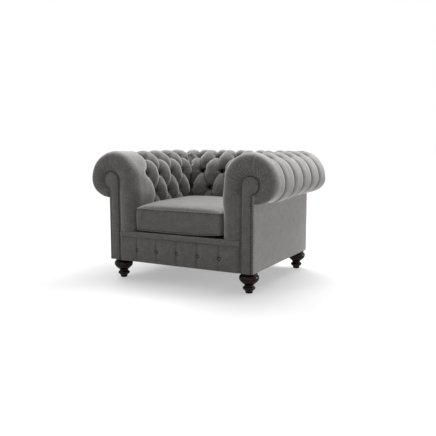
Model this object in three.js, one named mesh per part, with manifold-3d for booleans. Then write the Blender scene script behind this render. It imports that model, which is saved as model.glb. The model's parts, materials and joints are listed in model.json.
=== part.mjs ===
// Chesterfield armchair in millimetres, +Z up, front facing -Y.
// The origin is on the floor under the middle of the chair.
import * as THREE from 'three';
import { mergeVertices } from 'three/addons/utils/BufferGeometryUtils.js';
import Module from 'manifold-3d';

const wasm = await Module();
wasm.setup();

// Overall sizes
const overallWidth = 1212;
const overallDepth = 971;
const crestHeight = 762;
const footHeight = 117;
const deckHeight = 294;
const fit = 0.3;

// Section of the rolled arm, measured out from its seat side
const rollReach = 326;
const rollCrestReach = 158;
const rollInnerDrop = 172;
const rollOuterDrop = 166;
const rollUndersideDrop = 101;
const scrollInset = 115;
const scrollRadius = 57;
const scrollDrop = 171;
const scrollBoardWidth = 71;
const outsidePanel = 6;

// Lean of the back, in the height of the cushion's top edge
const backLeanShare = 0.13;
const rearSetback = 8;

// Tufting
const columnPitch = 137.5;
const rowPitch = 117.5;
const crestRowPast = 12;
const tuftDepth = 28;
const fluteDepth = 13;
const cornerCrease = 10;
const cornerRound = 85;
const armFirstColumn = 170;
const armColumns = 3;
const backColumns = 3;
const pleatShare = 0.5;
const smoothFrontShare = 0.45;
const fluteRunShare = 0.7;
const undersideFade = 70;

// Front of the arms
const facingRecess = 17;
const facingThickness = 8;
const boardThickness = 30;
const frontRound = 56;
const seamTuck = 4;
const frontRollAngleShare = 0.8;

// Nail trim
const nailStripWidth = 9.5;
const nailStripHeight = 3.6;
const nailStripEdge = 0.8;

// Frame timbers
const railThickness = 30;
const topRailSize = 50;
const topRailDrop = 152;
const topRailInset = 22;
const backRailSetback = 8.8;
const tackingRailHeight = 40;
const postWidth = 66;
const postDepth = 54;
const blockHeight = 50;
const blockSize = 52;
const seatRailFromBack = 72;
const lining = 2;

// Seat
const springCount = 5;
const springWire = 4;
const springWave = 25;
const springBends = 14;
const hessian = 2.4;
const deckPadding = 29;
const lipDepth = 78;
const lipRound = 16;
const borderBulge = 17;
const borderBays = 6;
const cushionEdge = 137;
const cushionCrown = 52;
const cushionGap = 1.5;
const cushionWall = 4;
const cushionBulge = 2;
const cushionDrawIn = 4;
const cushionFrontSet = 20;
const dustCover = 1.5;
const dustCoverInset = 12;

// Feet
const footInset = 52;
const footFrontInset = 76;
const footRearInset = 37;
const footToeRadius = 19.5;
const footRingRadius = 32;
const footRingHeight = 34;
const footNeckRadius = 23;
const footNeckHeight = 57;
const footBulbRadius = 53.5;
const footBulbHeight = 91;
const footCapRadius = 44;
const boltRadius = 4;
const boltInFoot = 40;
const boltInFrame = 36;
const nutWall = 1.6;
const nutBarrel = 14;
const nutFlangeRadius = 10;
const nutFlange = 1.5;

// Places worked out from the sizes above
const halfWidth = overallWidth / 2;
const frontY = -overallDepth / 2;
const rearY = overallDepth / 2;
const seatHalf = halfWidth - rollReach;
const facingY = frontY + facingRecess;
const boardFrontY = facingY + facingThickness;
const boardRearY = boardFrontY + boardThickness;
const padBottom = deckHeight + fit;
const innerArcHeight = crestHeight - rollInnerDrop;
const outermostHeight = crestHeight - rollOuterDrop;
const seamHeight = outermostHeight - rollUndersideDrop;
const scrollHeight = crestHeight - scrollDrop;
const scrollCentre = scrollInset + scrollRadius;
const boardOuter = scrollInset + scrollBoardWidth;
const panelOuter = boardOuter + fit + outsidePanel;
const backFaceY = rearY - rearSetback - rollReach;
const cushionTopEdge = deckHeight + cushionEdge;
const outsideY = backFaceY + rearSetback + panelOuter;
const frameRearY = backFaceY + rearSetback + boardOuter - fit;
const frameSideX = seatHalf + boardOuter - fit;
const innerFrameX = seatHalf + scrollInset + fit;
const padBase = deckHeight - deckPadding;
const springBed = padBase - fit - hessian - fit - springWire - fit;
const baseTop = springBed - railThickness;
const footX = seatHalf + panelOuter - footInset;
const footFrontY = facingY - facingRecess + footFrontInset;
const footRearY = outsideY - footRearInset;
const boreRadius = boltRadius + fit;
const nutRadius = boreRadius + nutWall;

// Materials
function finish(color, roughness, metalness = 0) {
  return new THREE.MeshStandardMaterial({ color, roughness, metalness });
}
const velvet = finish(0x7a7571, 0.9);
const facingVelvet = finish(0x5f5b58, 0.9);
const timber = finish(0xb8935f, 0.7);
const mahogany = finish(0x22100a, 0.25);
const antiqueBrass = finish(0x6b5636, 0.4, 1);
const steel = finish(0x8d9094, 0.4, 1);
const jute = finish(0xb49a6c, 0.95);
const cambric = finish(0x1d1d20, 0.95);
const foam = finish(0xe4d9bd, 0.9);

const armchair = new THREE.Group();
armchair.name = 'chesterfield_armchair';

function place(name, geometry, material, x = 0, y = 0, z = 0) {
  const mesh = new THREE.Mesh(geometry, material);
  mesh.name = name;
  mesh.position.set(x, y, z);
  armchair.add(mesh);
  return mesh;
}

function welded(geometry) {
  const bare = geometry.index ? geometry.toNonIndexed() : geometry.clone();
  bare.deleteAttribute('normal');
  bare.deleteAttribute('uv');
  return mergeVertices(bare, 1e-4);
}

function toSolid(geometry) {
  const merged = welded(geometry);
  return new wasm.Manifold(new wasm.Mesh({
    numProp: 3,
    vertProperties: new Float32Array(merged.attributes.position.array),
    triVerts: new Uint32Array(merged.index.array),
  }));
}

function toGeometry(solid) {
  const mesh = solid.getMesh();
  const geometry = new THREE.BufferGeometry();
  geometry.setAttribute('position', new THREE.BufferAttribute(mesh.vertProperties, 3));
  geometry.setIndex(new THREE.BufferAttribute(mesh.triVerts, 1));
  return geometry;
}

function cut(geometry, tools) {
  let solid = toSolid(geometry);
  for (const tool of tools) {
    solid = solid.subtract(toSolid(tool));
  }
  return toGeometry(solid);
}

// A board between two corners, as its own mesh at its own centre
function board(name, material, low, high) {
  const size = new THREE.Vector3().subVectors(high, low);
  const centre = new THREE.Vector3().addVectors(high, low).multiplyScalar(0.5);
  const geometry = new THREE.BoxGeometry(size.x, size.y, size.z);
  return place(name, geometry, material, centre.x, centre.y, centre.z);
}

function corner(x, y, z) {
  return new THREE.Vector3(x, y, z);
}

// The same board on the left and on the right
function boardPair(name, material, low, high) {
  board(`right_${name}`, material, low, high);
  board(`left_${name}`, material, corner(-high.x, low.y, low.z), corner(-low.x, high.y, high.z));
}

function mirrored(geometry) {
  const copy = geometry.index ? geometry.toNonIndexed() : geometry.clone();
  const points = copy.attributes.position;
  for (let i = 0; i < points.count; i += 3) {
    const [x, y, z] = [points.getX(i), points.getY(i), points.getZ(i)];
    points.setXYZ(i, -points.getX(i + 1), points.getY(i + 1), points.getZ(i + 1));
    points.setXYZ(i + 1, -x, y, z);
    points.setX(i + 2, -points.getX(i + 2));
  }
  return copy;
}

function placePair(name, geometry, material) {
  place(`right_${name}`, geometry, material);
  place(`left_${name}`, mirrored(geometry), material);
}

// Collects triangles of a closed skin from grids of points and flat outlines
class Skin {
  constructor() {
    this.corners = [];
  }

  triangle(a, b, c, flip) {
    const order = flip ? [a, c, b] : [a, b, c];
    for (const point of order) {
      this.corners.push(point.x, point.y, point.z);
    }
  }

  grid(points, flip = false, skip = () => false) {
    for (let i = 0; i + 1 < points.length; i += 1) {
      for (let j = 0; j + 1 < points[i].length; j += 1) {
        if (!skip(i, j)) {
          this.triangle(points[i][j], points[i + 1][j], points[i + 1][j + 1], flip);
          this.triangle(points[i][j], points[i + 1][j + 1], points[i][j + 1], flip);
        }
      }
    }
  }

  // A narrow face between a line of many points and a straight edge of two
  ribbon(many, edge, flip = false) {
    const turn = Math.floor(many.length / 2);
    for (let j = 0; j + 1 < many.length; j += 1) {
      this.triangle(many[j], many[j + 1], edge[j < turn ? 0 : 1], flip);
    }
    this.triangle(many[turn], edge[1], edge[0], flip);
  }

  geometry() {
    const geometry = new THREE.BufferGeometry();
    geometry.setAttribute('position', new THREE.Float32BufferAttribute(this.corners, 3));
    return mergeVertices(geometry, 1e-4);
  }
}

// Outer line of the arm's section, from the deck up over the roll to the seam below it
const seatSideLine = new THREE.LineCurve(
  new THREE.Vector2(0, padBottom),
  new THREE.Vector2(0, innerArcHeight),
);
const innerRoll = new THREE.EllipseCurve(
  rollCrestReach, innerArcHeight, rollCrestReach, rollInnerDrop, Math.PI, Math.PI / 2, true,
);
const outerRoll = new THREE.EllipseCurve(
  rollCrestReach, outermostHeight, rollReach - rollCrestReach, rollOuterDrop, Math.PI / 2, 0, true,
);
const underRoll = new THREE.EllipseCurve(
  panelOuter, outermostHeight, rollReach - panelOuter, rollUndersideDrop, 0, -Math.PI / 2, true,
);
const section = new THREE.CurvePath();
[seatSideLine, innerRoll, outerRoll, underRoll].forEach((curve) => section.add(curve));
const lineLength = seatSideLine.getLength();
const crestAt = lineLength + innerRoll.getLength();
const outermostAt = crestAt + outerRoll.getLength();
const sectionLength = section.getLength();
const crestRowAt = crestAt + crestRowPast;

// Samples along the section: quarter rows up to the crest, then even steps to the seam
const outerSteps = 5;
const undersideSteps = 5;
const stemSteps = 2;
function sectionStops() {
  const step = rowPitch / 4;
  const rows = Math.floor(crestRowAt / step - 1 / 2);
  const stops = [0];
  for (let k = rows; k >= 0; k -= 1) {
    stops.push(crestRowAt - k * step);
  }
  for (let k = 1; k <= outerSteps; k += 1) {
    stops.push(THREE.MathUtils.lerp(crestRowAt, outermostAt, k / outerSteps));
  }
  for (let k = 1; k <= undersideSteps; k += 1) {
    stops.push(THREE.MathUtils.lerp(outermostAt, sectionLength, k / undersideSteps));
  }
  return stops;
}
const stops = sectionStops();
const headEndAt = stops[stops.length - 1 - stemSteps];

// Outline of the scroll board, which is the inner side of the padding: stem, round head, stem
function scrollPoint(along, inset) {
  const radius = scrollRadius - inset;
  const end = -Math.acos((boardOuter - inset - scrollCentre) / radius);
  if (along <= lineLength) {
    const height = THREE.MathUtils.lerp(padBottom, scrollHeight, along / lineLength);
    return new THREE.Vector2(scrollInset + inset, height);
  }
  if (along <= headEndAt) {
    const turn = (along - lineLength) / (headEndAt - lineLength);
    const angle = THREE.MathUtils.lerp(Math.PI, end, turn);
    return new THREE.Vector2(
      scrollCentre + radius * Math.cos(angle),
      scrollHeight + radius * Math.sin(angle),
    );
  }
  const down = (along - headEndAt) / (sectionLength - headEndAt);
  const from = scrollHeight + radius * Math.sin(end);
  return new THREE.Vector2(boardOuter - inset, THREE.MathUtils.lerp(from, seamHeight, down));
}

// How far each point of the back's section stands behind the arm's
function leanAt(height, along) {
  const turn = THREE.MathUtils.smoothstep(along, crestRowAt - rowPitch, outermostAt - rowPitch / 2);
  const lean = backLeanShare * (height - cushionTopEdge);
  return THREE.MathUtils.lerp(lean, rearSetback, turn);
}

const samples = stops.map((along) => {
  const share = along / sectionLength;
  const point = section.getPoint(share);
  const way = section.getTangent(share);
  const core = scrollPoint(along, 0);
  return {
    along,
    reach: point.x,
    height: point.y,
    outReach: -way.y,
    outHeight: way.x,
    lean: leanAt(point.y, along),
    coreReach: core.x,
    coreHeight: core.y,
    coreLean: leanAt(core.y, along),
  };
});

// Depth of the tufting as a share, with buttons where both counts are whole on the crest row
function tuftShare(column, row) {
  const half = Math.min(0, row) / 2;
  const rise = Math.abs(Math.sin(Math.PI * (column + half)));
  const fall = Math.abs(Math.sin(Math.PI * (column - half)));
  return 1 - pleatShare * Math.sqrt(rise * fall) - (1 - pleatShare) * Math.max(rise, fall);
}

function zigzag(row) {
  const capped = Math.min(0, row);
  return Math.abs(capped - 2 * Math.round(capped / 2)) / 2;
}

function paddingDepth(column, row, smoothFront) {
  const deep = THREE.MathUtils.lerp(tuftDepth, fluteDepth, Math.min(1, Math.max(0, row) / fluteRunShare));
  const first = zigzag(row);
  if (smoothFront && column < first) {
    const fade = Math.max(0, 1 - (first - column) / smoothFrontShare);
    return deep * tuftShare(first, row) * fade * fade;
  }
  return deep * tuftShare(column, row);
}

// A point of the section pressed in by the tufting, with its corner share from 0 to 1
function pressed(sample, column, cornerShare, smoothFront) {
  const row = (sample.along - crestRowAt) / rowPitch;
  const tufts = paddingDepth(column, row, smoothFront);
  const turned = THREE.MathUtils.smoothstep(cornerShare, 0, 1);
  const end = THREE.MathUtils.smoothstep(sectionLength - sample.along, 0, undersideFade);
  const depth = THREE.MathUtils.lerp(tufts, cornerCrease, turned) * end;
  return {
    reach: sample.reach - sample.outReach * depth,
    height: sample.height - sample.outHeight * depth,
  };
}

// Half of the round corner seen from above: run and drop from its start to the mitre
function cornerPath(start, end, radius, share) {
  const straight = end - radius - start;
  const gone = share * (straight + (radius * Math.PI) / 4);
  const angle = Math.max(0, gone - straight) / Math.max(radius, Number.EPSILON);
  return {
    run: gone <= straight ? start + gone : end - radius + radius * Math.sin(angle),
    drop: radius * (1 - Math.cos(angle)),
  };
}

// The corner is rounder above the roll than where its underside meets the flat panels
function cornerRadius(reach, along) {
  const open = Math.min(1, (sectionLength - along) / (sectionLength - outermostAt));
  return Math.max(0, reach - panelOuter + cornerRound * open);
}

// Tufted arm: a grid over the roll, a rolled front edge, and a mitre at the back corner
const frontSteps = 3;
const cornerSteps = 5;
const frontRows = 5;
function armPad() {
  const firstY = frontY + armFirstColumn;
  const lastY = firstY + armColumns * columnPitch;
  const stations = [];
  for (let k = 0; k < frontSteps; k += 1) {
    stations.push(THREE.MathUtils.lerp(frontY + frontRound, firstY, k / frontSteps));
  }
  for (let k = 0; k <= armColumns * 4; k += 1) {
    stations.push(firstY + (k * columnPitch) / 4);
  }
  const outer = samples.map((sample) => {
    const line = stations.map((y) => {
      const { reach, height } = pressed(sample, (y - firstY) / columnPitch, 0, true);
      return corner(seatHalf + reach, y, height);
    });
    const mitre = pressed(sample, 0, 1, true);
    const endY = backFaceY + mitre.reach + sample.lean - fit;
    for (let k = 1; k <= cornerSteps; k += 1) {
      const share = k / cornerSteps;
      const { run, drop } = cornerPath(lastY, endY, cornerRadius(mitre.reach, sample.along), share);
      const { reach, height } = pressed(sample, (run - firstY) / columnPitch, share, true);
      line.push(corner(seatHalf + reach - drop, run, height));
    }
    return line;
  });
  const core = samples.map((sample) => [
    corner(seatHalf + sample.coreReach, boardFrontY - seamTuck, sample.coreHeight),
    corner(
      seatHalf + sample.coreReach,
      backFaceY + sample.coreReach + sample.coreLean - fit,
      sample.coreHeight,
    ),
  ]);
  const lastAngle = Math.PI * frontRollAngleShare;
  const seamForward = frontY + frontRound - core[0][0].y;
  const lift = frontRound - seamForward;
  const front = samples.map((_, i) => {
    const row = [outer[i][0]];
    for (let k = 1; k < frontRows; k += 1) {
      const angle = (lastAngle * k) / frontRows;
      const share = (1 - Math.cos(angle)) / (1 - Math.cos(lastAngle));
      const point = new THREE.Vector3().lerpVectors(outer[i][0], core[i][0], share);
      const settle = (lift - frontRound * (1 - Math.sin(lastAngle))) * share;
      point.y = frontY + frontRound * (1 - Math.sin(angle)) + settle;
      row.push(point);
    }
    row.push(core[i][0]);
    return row;
  });
  const skin = new Skin();
  const last = outer[0].length - 1;
  skin.grid(outer);
  skin.grid(core, true);
  skin.grid(front, true);
  skin.grid(samples.map((_, i) => [outer[i][last], core[i][1]]));
  for (const i of [0, samples.length - 1]) {
    const around = [...front[i].slice(1, -1).reverse(), ...outer[i]];
    skin.ribbon(around, core[i], i > 0);
  }
  return skin.geometry();
}

// Tufted back between the two mitres
function backPad() {
  const edgeX = (backColumns * columnPitch) / 2;
  const outer = samples.map((sample) => {
    const mitre = pressed(sample, 0, 1, false);
    const endX = seatHalf + mitre.reach - fit;
    const half = [];
    for (let k = 0; k < backColumns * 2; k += 1) {
      half.push({ x: (k * columnPitch) / 4, drop: 0, share: 0 });
    }
    for (let k = 0; k <= cornerSteps; k += 1) {
      const share = k / cornerSteps;
      const { run, drop } = cornerPath(edgeX, endX, cornerRadius(mitre.reach, sample.along), share);
      half.push({ x: run, drop, share });
    }
    const other = half.slice(1).reverse().map(({ x, drop, share }) => ({ x: -x, drop, share }));
    return [...other, ...half].map(({ x, drop, share }) => {
      const { reach, height } = pressed(sample, x / columnPitch + 1 / 2, share, false);
      return corner(x, backFaceY + reach + sample.lean - drop, height);
    });
  });
  const core = samples.map((sample) => {
    const x = seatHalf + sample.coreReach - fit;
    const y = backFaceY + sample.coreReach + sample.coreLean;
    return [corner(-x, y, sample.coreHeight), corner(x, y, sample.coreHeight)];
  });
  const skin = new Skin();
  const last = outer[0].length - 1;
  skin.grid(outer, true);
  skin.grid(core);
  skin.grid(samples.map((_, i) => [outer[i][0], core[i][0]]));
  skin.grid(samples.map((_, i) => [outer[i][last], core[i][1]]), true);
  skin.ribbon(outer[0], core[0], true);
  skin.ribbon(outer[samples.length - 1], core[samples.length - 1]);
  return skin.geometry();
}

placePair('arm_pad', armPad(), velvet);
place('back_pad', backPad(), velvet);

// Shapes drawn on the front plane, thickened towards the back
function standing(shape, thickness, frontFaceY) {
  const geometry = new THREE.ExtrudeGeometry(shape, { depth: thickness, bevelEnabled: false });
  geometry.rotateX(Math.PI / 2);
  geometry.translate(seatHalf, frontFaceY + thickness, 0);
  return geometry;
}

function scrollOutline(inset, bottom) {
  return [
    new THREE.Vector2(scrollInset + inset, bottom),
    ...stops.map((along) => scrollPoint(along, inset)),
    new THREE.Vector2(boardOuter - inset, bottom),
  ];
}

function nailStripShape() {
  const edge = fit + nailStripEdge;
  const bottom = footHeight + nailStripEdge;
  const outside = scrollOutline(edge, bottom);
  const inside = scrollOutline(edge + nailStripWidth, bottom);
  return new THREE.Shape([...outside, ...inside.reverse()]);
}

const boardShape = new THREE.Shape(scrollOutline(fit, footHeight));
placePair('scroll_board', standing(boardShape, boardThickness, boardFrontY), timber);
placePair('facing_panel', standing(boardShape, facingThickness - fit, facingY), facingVelvet);
placePair(
  'nail_trim',
  standing(nailStripShape(), nailStripHeight, facingY - fit - nailStripHeight),
  antiqueBrass,
);

// Base frame
const postFrontY = frameRearY - postDepth;
const postInnerX = frameSideX - postWidth;
board(
  'front_rail', timber,
  corner(-innerFrameX + 2 * fit, boardFrontY, footHeight),
  corner(innerFrameX - 2 * fit, boardRearY, springBed),
);
board(
  'rear_rail', timber,
  corner(-postInnerX + fit, frameRearY - railThickness, footHeight),
  corner(postInnerX - fit, frameRearY, baseTop),
);
boardPair(
  'base_rail', timber,
  corner(frameSideX - railThickness, boardRearY + fit, footHeight),
  corner(frameSideX, postFrontY - fit, baseTop),
);
const seatRailY = backFaceY + seatRailFromBack;
board(
  'rear_seat_rail', timber,
  corner(-frameSideX, seatRailY - railThickness, baseTop + fit),
  corner(frameSideX, seatRailY, springBed),
);

// Arm and back timbers
const topRailTop = crestHeight - topRailDrop;
const backRailRearY = frameRearY - fit;
boardPair(
  'arm_top_rail', timber,
  corner(innerFrameX + topRailInset, boardRearY + fit, topRailTop - topRailSize),
  corner(innerFrameX + topRailInset + topRailSize, postFrontY - fit, topRailTop),
);
const backRailFrontY = backFaceY + scrollInset + leanAt(topRailTop, 0) + backRailSetback;
board(
  'back_top_rail', timber,
  corner(-postInnerX + fit, backRailFrontY, topRailTop - topRailSize),
  corner(postInnerX - fit, backRailRearY, topRailTop),
);
const tackingX = innerFrameX + lining + fit;
const tackingBottom = padBottom;
const tackingTop = tackingBottom + tackingRailHeight;
board(
  'back_tacking_rail', timber,
  corner(-frameSideX, postFrontY - fit - railThickness, tackingBottom),
  corner(frameSideX, postFrontY - fit, tackingTop),
);
boardPair(
  'arm_tacking_rail', timber,
  corner(tackingX, boardRearY + fit, tackingBottom),
  corner(tackingX + railThickness, postFrontY - railThickness - 2 * fit, tackingTop),
);
boardPair(
  'arm_lining', jute,
  corner(innerFrameX, boardRearY + fit, tackingBottom),
  corner(innerFrameX + lining, postFrontY - railThickness - 2 * fit, topRailTop - topRailSize),
);

// Lining of the back, leaning with it
const backLiningHeight = topRailTop - topRailSize - tackingBottom;
const leanAngle = Math.atan(backLeanShare);
const backLining = place(
  'back_lining',
  new THREE.BoxGeometry(2 * (innerFrameX - fit), lining, backLiningHeight),
  jute,
  0,
  backFaceY + scrollInset + leanAt(tackingBottom + backLiningHeight / 2, 0)
    + (fit + lining / 2) / Math.cos(leanAngle),
  tackingBottom + backLiningHeight / 2,
);
backLining.rotation.x = -leanAngle;

// Holes for the threaded inserts that take the feet
function rod(radius, low, high, x, y, sides = 16) {
  const geometry = new THREE.CylinderGeometry(radius, radius, high - low, sides);
  geometry.rotateX(Math.PI / 2);
  geometry.translate(x, y, (high + low) / 2);
  return geometry;
}

function footing(low, high, x, y) {
  const size = new THREE.Vector3().subVectors(high, low);
  const box = new THREE.BoxGeometry(size.x, size.y, size.z);
  box.translate((low.x + high.x) / 2, (low.y + high.y) / 2, (low.z + high.z) / 2);
  return cut(box, [
    rod(nutRadius + fit, footHeight - nutFlange, footHeight + boltInFrame + fit, x, y),
    rod(nutFlangeRadius + fit, footHeight - nutFlange, footHeight + nutFlange + fit, x, y),
  ]);
}

const sideRailInnerX = frameSideX - railThickness;
placePair('front_corner_block', footing(
  corner(sideRailInnerX - fit - blockSize, boardRearY + fit, footHeight),
  corner(sideRailInnerX - fit, boardRearY + fit + blockSize, footHeight + blockHeight),
  footX,
  footFrontY,
), timber);
placePair('back_post', footing(
  corner(postInnerX, postFrontY, footHeight),
  corner(frameSideX, frameRearY, topRailTop),
  footX,
  footRearY,
), timber);
const rearRailFrontY = frameRearY - railThickness;
boardPair(
  'rear_corner_block', timber,
  corner(postInnerX - fit - blockSize, rearRailFrontY - fit - blockSize, footHeight),
  corner(postInnerX - fit, rearRailFrontY - fit, footHeight + blockHeight),
);

// Feet with their bolts and inserts
function lathed(profile, sides) {
  const geometry = new THREE.LatheGeometry(profile, sides);
  geometry.rotateX(Math.PI / 2);
  return geometry;
}

const footTop = footHeight - fit;
const footSides = 20;
const turnedSteps = 12;
function footProfile() {
  const turned = new THREE.SplineCurve([
    new THREE.Vector2(footToeRadius, 0),
    new THREE.Vector2((footToeRadius + footRingRadius) / 2, footRingHeight / 2),
    new THREE.Vector2(footRingRadius, footRingHeight),
    new THREE.Vector2(footNeckRadius, footNeckHeight),
    new THREE.Vector2(footBulbRadius, footBulbHeight),
    new THREE.Vector2(footCapRadius, footTop),
  ]);
  return [
    new THREE.Vector2(0, 0),
    ...turned.getSpacedPoints(turnedSteps),
    new THREE.Vector2(boreRadius, footTop),
    new THREE.Vector2(boreRadius, footTop - boltInFoot - fit),
    new THREE.Vector2(0, footTop - boltInFoot - fit),
  ];
}

const boltChamfer = boltRadius / 4;
function boltProfile() {
  const low = footTop - boltInFoot;
  const high = footHeight + boltInFrame;
  return [
    new THREE.Vector2(0, low),
    new THREE.Vector2(boltRadius - boltChamfer, low),
    new THREE.Vector2(boltRadius, low + boltChamfer),
    new THREE.Vector2(boltRadius, high - boltChamfer),
    new THREE.Vector2(boltRadius - boltChamfer, high),
    new THREE.Vector2(0, high),
  ];
}

function nutProfile() {
  const low = footHeight;
  return [
    new THREE.Vector2(boreRadius, low),
    new THREE.Vector2(nutFlangeRadius, low),
    new THREE.Vector2(nutFlangeRadius, low + nutFlange),
    new THREE.Vector2(nutRadius, low + nutFlange),
    new THREE.Vector2(nutRadius, low + nutBarrel),
    new THREE.Vector2(boreRadius, low + nutBarrel),
    new THREE.Vector2(boreRadius, low),
  ];
}

const hardwareSides = 12;
const footPlaces = [
  { name: 'front_left', x: -footX, y: footFrontY },
  { name: 'front_right', x: footX, y: footFrontY },
  { name: 'rear_left', x: -footX, y: footRearY },
  { name: 'rear_right', x: footX, y: footRearY },
];
for (const { name, x, y } of footPlaces) {
  place(`${name}_foot`, lathed(footProfile(), footSides), mahogany, x, y);
  place(`${name}_hanger_bolt`, lathed(boltProfile(), hardwareSides), steel, x, y);
  place(`${name}_threaded_insert`, lathed(nutProfile(), hardwareSides), steel, x, y);
}

// Wavy seat springs from the front rail to the rear seat rail
const deckHalf = innerFrameX - 2 * fit;
const springSides = 4;
const springSteps = 2 * springBends;
const springFrontY = (boardFrontY + boardRearY) / 2;
const springRearY = seatRailY - railThickness / 2;
const springHeight = springBed + fit + springWire / 2;
function springGeometry() {
  const points = [];
  for (let k = 0; k <= springSteps; k += 1) {
    const y = THREE.MathUtils.lerp(springFrontY, springRearY, k / springSteps);
    points.push(corner(springWave * Math.sin((Math.PI * k) / 2), y, 0));
  }
  const path = new THREE.CatmullRomCurve3(points);
  const wire = new THREE.Shape();
  const side = springWire / 2;
  wire.moveTo(side, 0);
  for (let k = 1; k < springSides; k += 1) {
    const angle = (2 * Math.PI * k) / springSides;
    wire.lineTo(side * Math.cos(angle), side * Math.sin(angle));
  }
  return new THREE.ExtrudeGeometry(wire, { steps: 2 * springSteps, extrudePath: path });
}
for (let k = 0; k < springCount; k += 1) {
  const x = THREE.MathUtils.lerp(-deckHalf, deckHalf, (k + 1) / (springCount + 1));
  place(`seat_spring_${k + 1}`, springGeometry(), steel, x, 0, springHeight);
}

// Deck over the springs
const deckRearY = postFrontY - railThickness - 2 * fit;
const hessianBottom = springBed + fit + springWire + fit;
board(
  'deck_hessian', jute,
  corner(-deckHalf, boardFrontY, hessianBottom),
  corner(deckHalf, seatRailY, hessianBottom + hessian),
);
const lipRearY = frontY + lipDepth;
board(
  'deck_pad', foam,
  corner(-deckHalf, lipRearY + fit, padBase),
  corner(deckHalf, deckRearY, deckHeight),
);

// Padded lip in front of the deck, rounded on its front edge
function lipGeometry() {
  const shape = new THREE.Shape();
  const frontLip = frontY + fit;
  shape.moveTo(lipRearY, padBase);
  shape.lineTo(lipRearY, deckHeight);
  shape.lineTo(frontLip + lipRound, deckHeight);
  shape.absellipse(
    frontLip + lipRound, (padBase + deckHeight) / 2, lipRound, (deckHeight - padBase) / 2,
    Math.PI / 2, (3 * Math.PI) / 2, false,
  );
  shape.closePath();
  const geometry = new THREE.ExtrudeGeometry(shape, { depth: 2 * deckHalf, bevelEnabled: false });
  geometry.applyMatrix4(new THREE.Matrix4().makeBasis(
    corner(0, 1, 0), corner(0, 0, 1), corner(1, 0, 0),
  ));
  return geometry.translate(-deckHalf, 0, 0);
}
place('seat_lip', lipGeometry(), velvet);

// Front border: a padded panel drawn in by upright pleats, one between each pair of bays
const borderBaySteps = 4;
const borderRows = 6;
const borderPleatShare = 0.45;
const borderEdgeShare = 0.25;
function borderGeometry() {
  const low = footHeight;
  const high = padBase - fit;
  const columns = borderBays * borderBaySteps;
  const face = [];
  const rear = [];
  for (let i = 0; i <= borderRows; i += 1) {
    const up = i / borderRows;
    const z = THREE.MathUtils.lerp(low, high, up);
    const swell = borderEdgeShare + (1 - borderEdgeShare) * Math.sin(Math.PI * up);
    const faceRow = [];
    for (let j = 0; j <= columns; j += 1) {
      const x = THREE.MathUtils.lerp(-deckHalf, deckHalf, j / columns);
      const bay = Math.abs(Math.sin((Math.PI * j) / borderBaySteps));
      const full = 1 - borderPleatShare * (1 - bay);
      faceRow.push(corner(x, facingY - (borderBulge - fit) * swell * full, z));
    }
    face.push(faceRow);
    rear.push([corner(-deckHalf, boardFrontY - fit, z), corner(deckHalf, boardFrontY - fit, z)]);
  }
  const skin = new Skin();
  const last = columns;
  skin.grid(face, true);
  skin.grid(rear);
  skin.grid(face.map((row, i) => [row[0], rear[i][0]]));
  skin.grid(face.map((row, i) => [row[last], rear[i][1]]), true);
  skin.ribbon(face[0], rear[0], true);
  skin.ribbon(face[borderRows], rear[borderRows]);
  return skin.geometry();
}
place('front_border', borderGeometry(), facingVelvet);

// Outside panels and dust cover
const outsideX = seatHalf + panelOuter;
boardPair(
  'outside_arm', velvet,
  corner(outsideX - outsidePanel, facingY, footHeight),
  corner(outsideX, outsideY, seamHeight - fit),
);
board(
  'outside_back', velvet,
  corner(-outsideX + outsidePanel + fit, outsideY - outsidePanel, footHeight),
  corner(outsideX - outsidePanel - fit, outsideY, seamHeight - fit),
);

function dustCoverGeometry() {
  const low = footHeight - fit - dustCover;
  const high = footHeight - fit;
  const half = frameSideX - dustCoverInset;
  const length = frameRearY - boardFrontY - 2 * dustCoverInset;
  const sheet = new THREE.BoxGeometry(2 * half, length, dustCover);
  sheet.translate(0, (frameRearY + boardFrontY) / 2, (low + high) / 2);
  const holes = footPlaces.map(({ x, y }) => (
    rod(footBulbRadius, low - dustCover, high + dustCover, x, y, footSides)
  ));
  return cut(sheet, holes);
}
place('dust_cover', dustCoverGeometry(), cambric);

// Loose seat cushion: a crowned box, its sides drawn in a little between the corners
const cushionFrontY = frontY + cushionFrontSet;
const cushionRearY = backFaceY + leanAt(deckHeight, 0) - cushionGap;
const cushionHalf = seatHalf - cushionGap;
const cushionCells = 12;
const bandRows = 3;
function cushionPoint(u, v, level, inset) {
  const halfX = cushionHalf - inset;
  const halfY = (cushionRearY - cushionFrontY) / 2 - inset;
  const low = deckHeight + fit + inset;
  const seam = cushionTopEdge - inset;
  const waist = cushionBulge * (Math.sin(Math.PI * level) - 1);
  const x = u * (halfX + waist - cushionDrawIn * (1 - v * v) * Math.abs(u));
  const y = v * (halfY + waist - cushionDrawIn * (1 - u * u) * Math.abs(v));
  const dome = Math.sqrt(Math.max(0, (1 - u * u) * (1 - v * v)));
  const crown = level === 1 ? cushionCrown * dome : 0;
  const z = THREE.MathUtils.lerp(low, seam, level) + crown;
  return corner(x, y + (cushionFrontY + cushionRearY) / 2, z);
}

function cushionFaces(inset) {
  const ticks = [];
  for (let k = 0; k <= cushionCells; k += 1) {
    ticks.push(-1 + (2 * k) / cushionCells);
  }
  const levels = [];
  for (let k = 0; k <= bandRows; k += 1) {
    levels.push(k / bandRows);
  }
  const rim = [
    ...ticks.slice(0, -1).map((t) => [t, -1]),
    ...ticks.slice(0, -1).map((t) => [1, t]),
    ...ticks.slice(0, -1).map((t) => [-t, 1]),
    ...ticks.map((t) => [-1, -t]),
  ];
  return {
    top: ticks.map((u) => ticks.map((v) => cushionPoint(u, v, 1, inset))),
    bottom: ticks.map((u) => ticks.map((v) => cushionPoint(u, v, 0, inset))),
    band: rim.map(([u, v]) => levels.map((level) => cushionPoint(u, v, level, inset))),
  };
}

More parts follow.
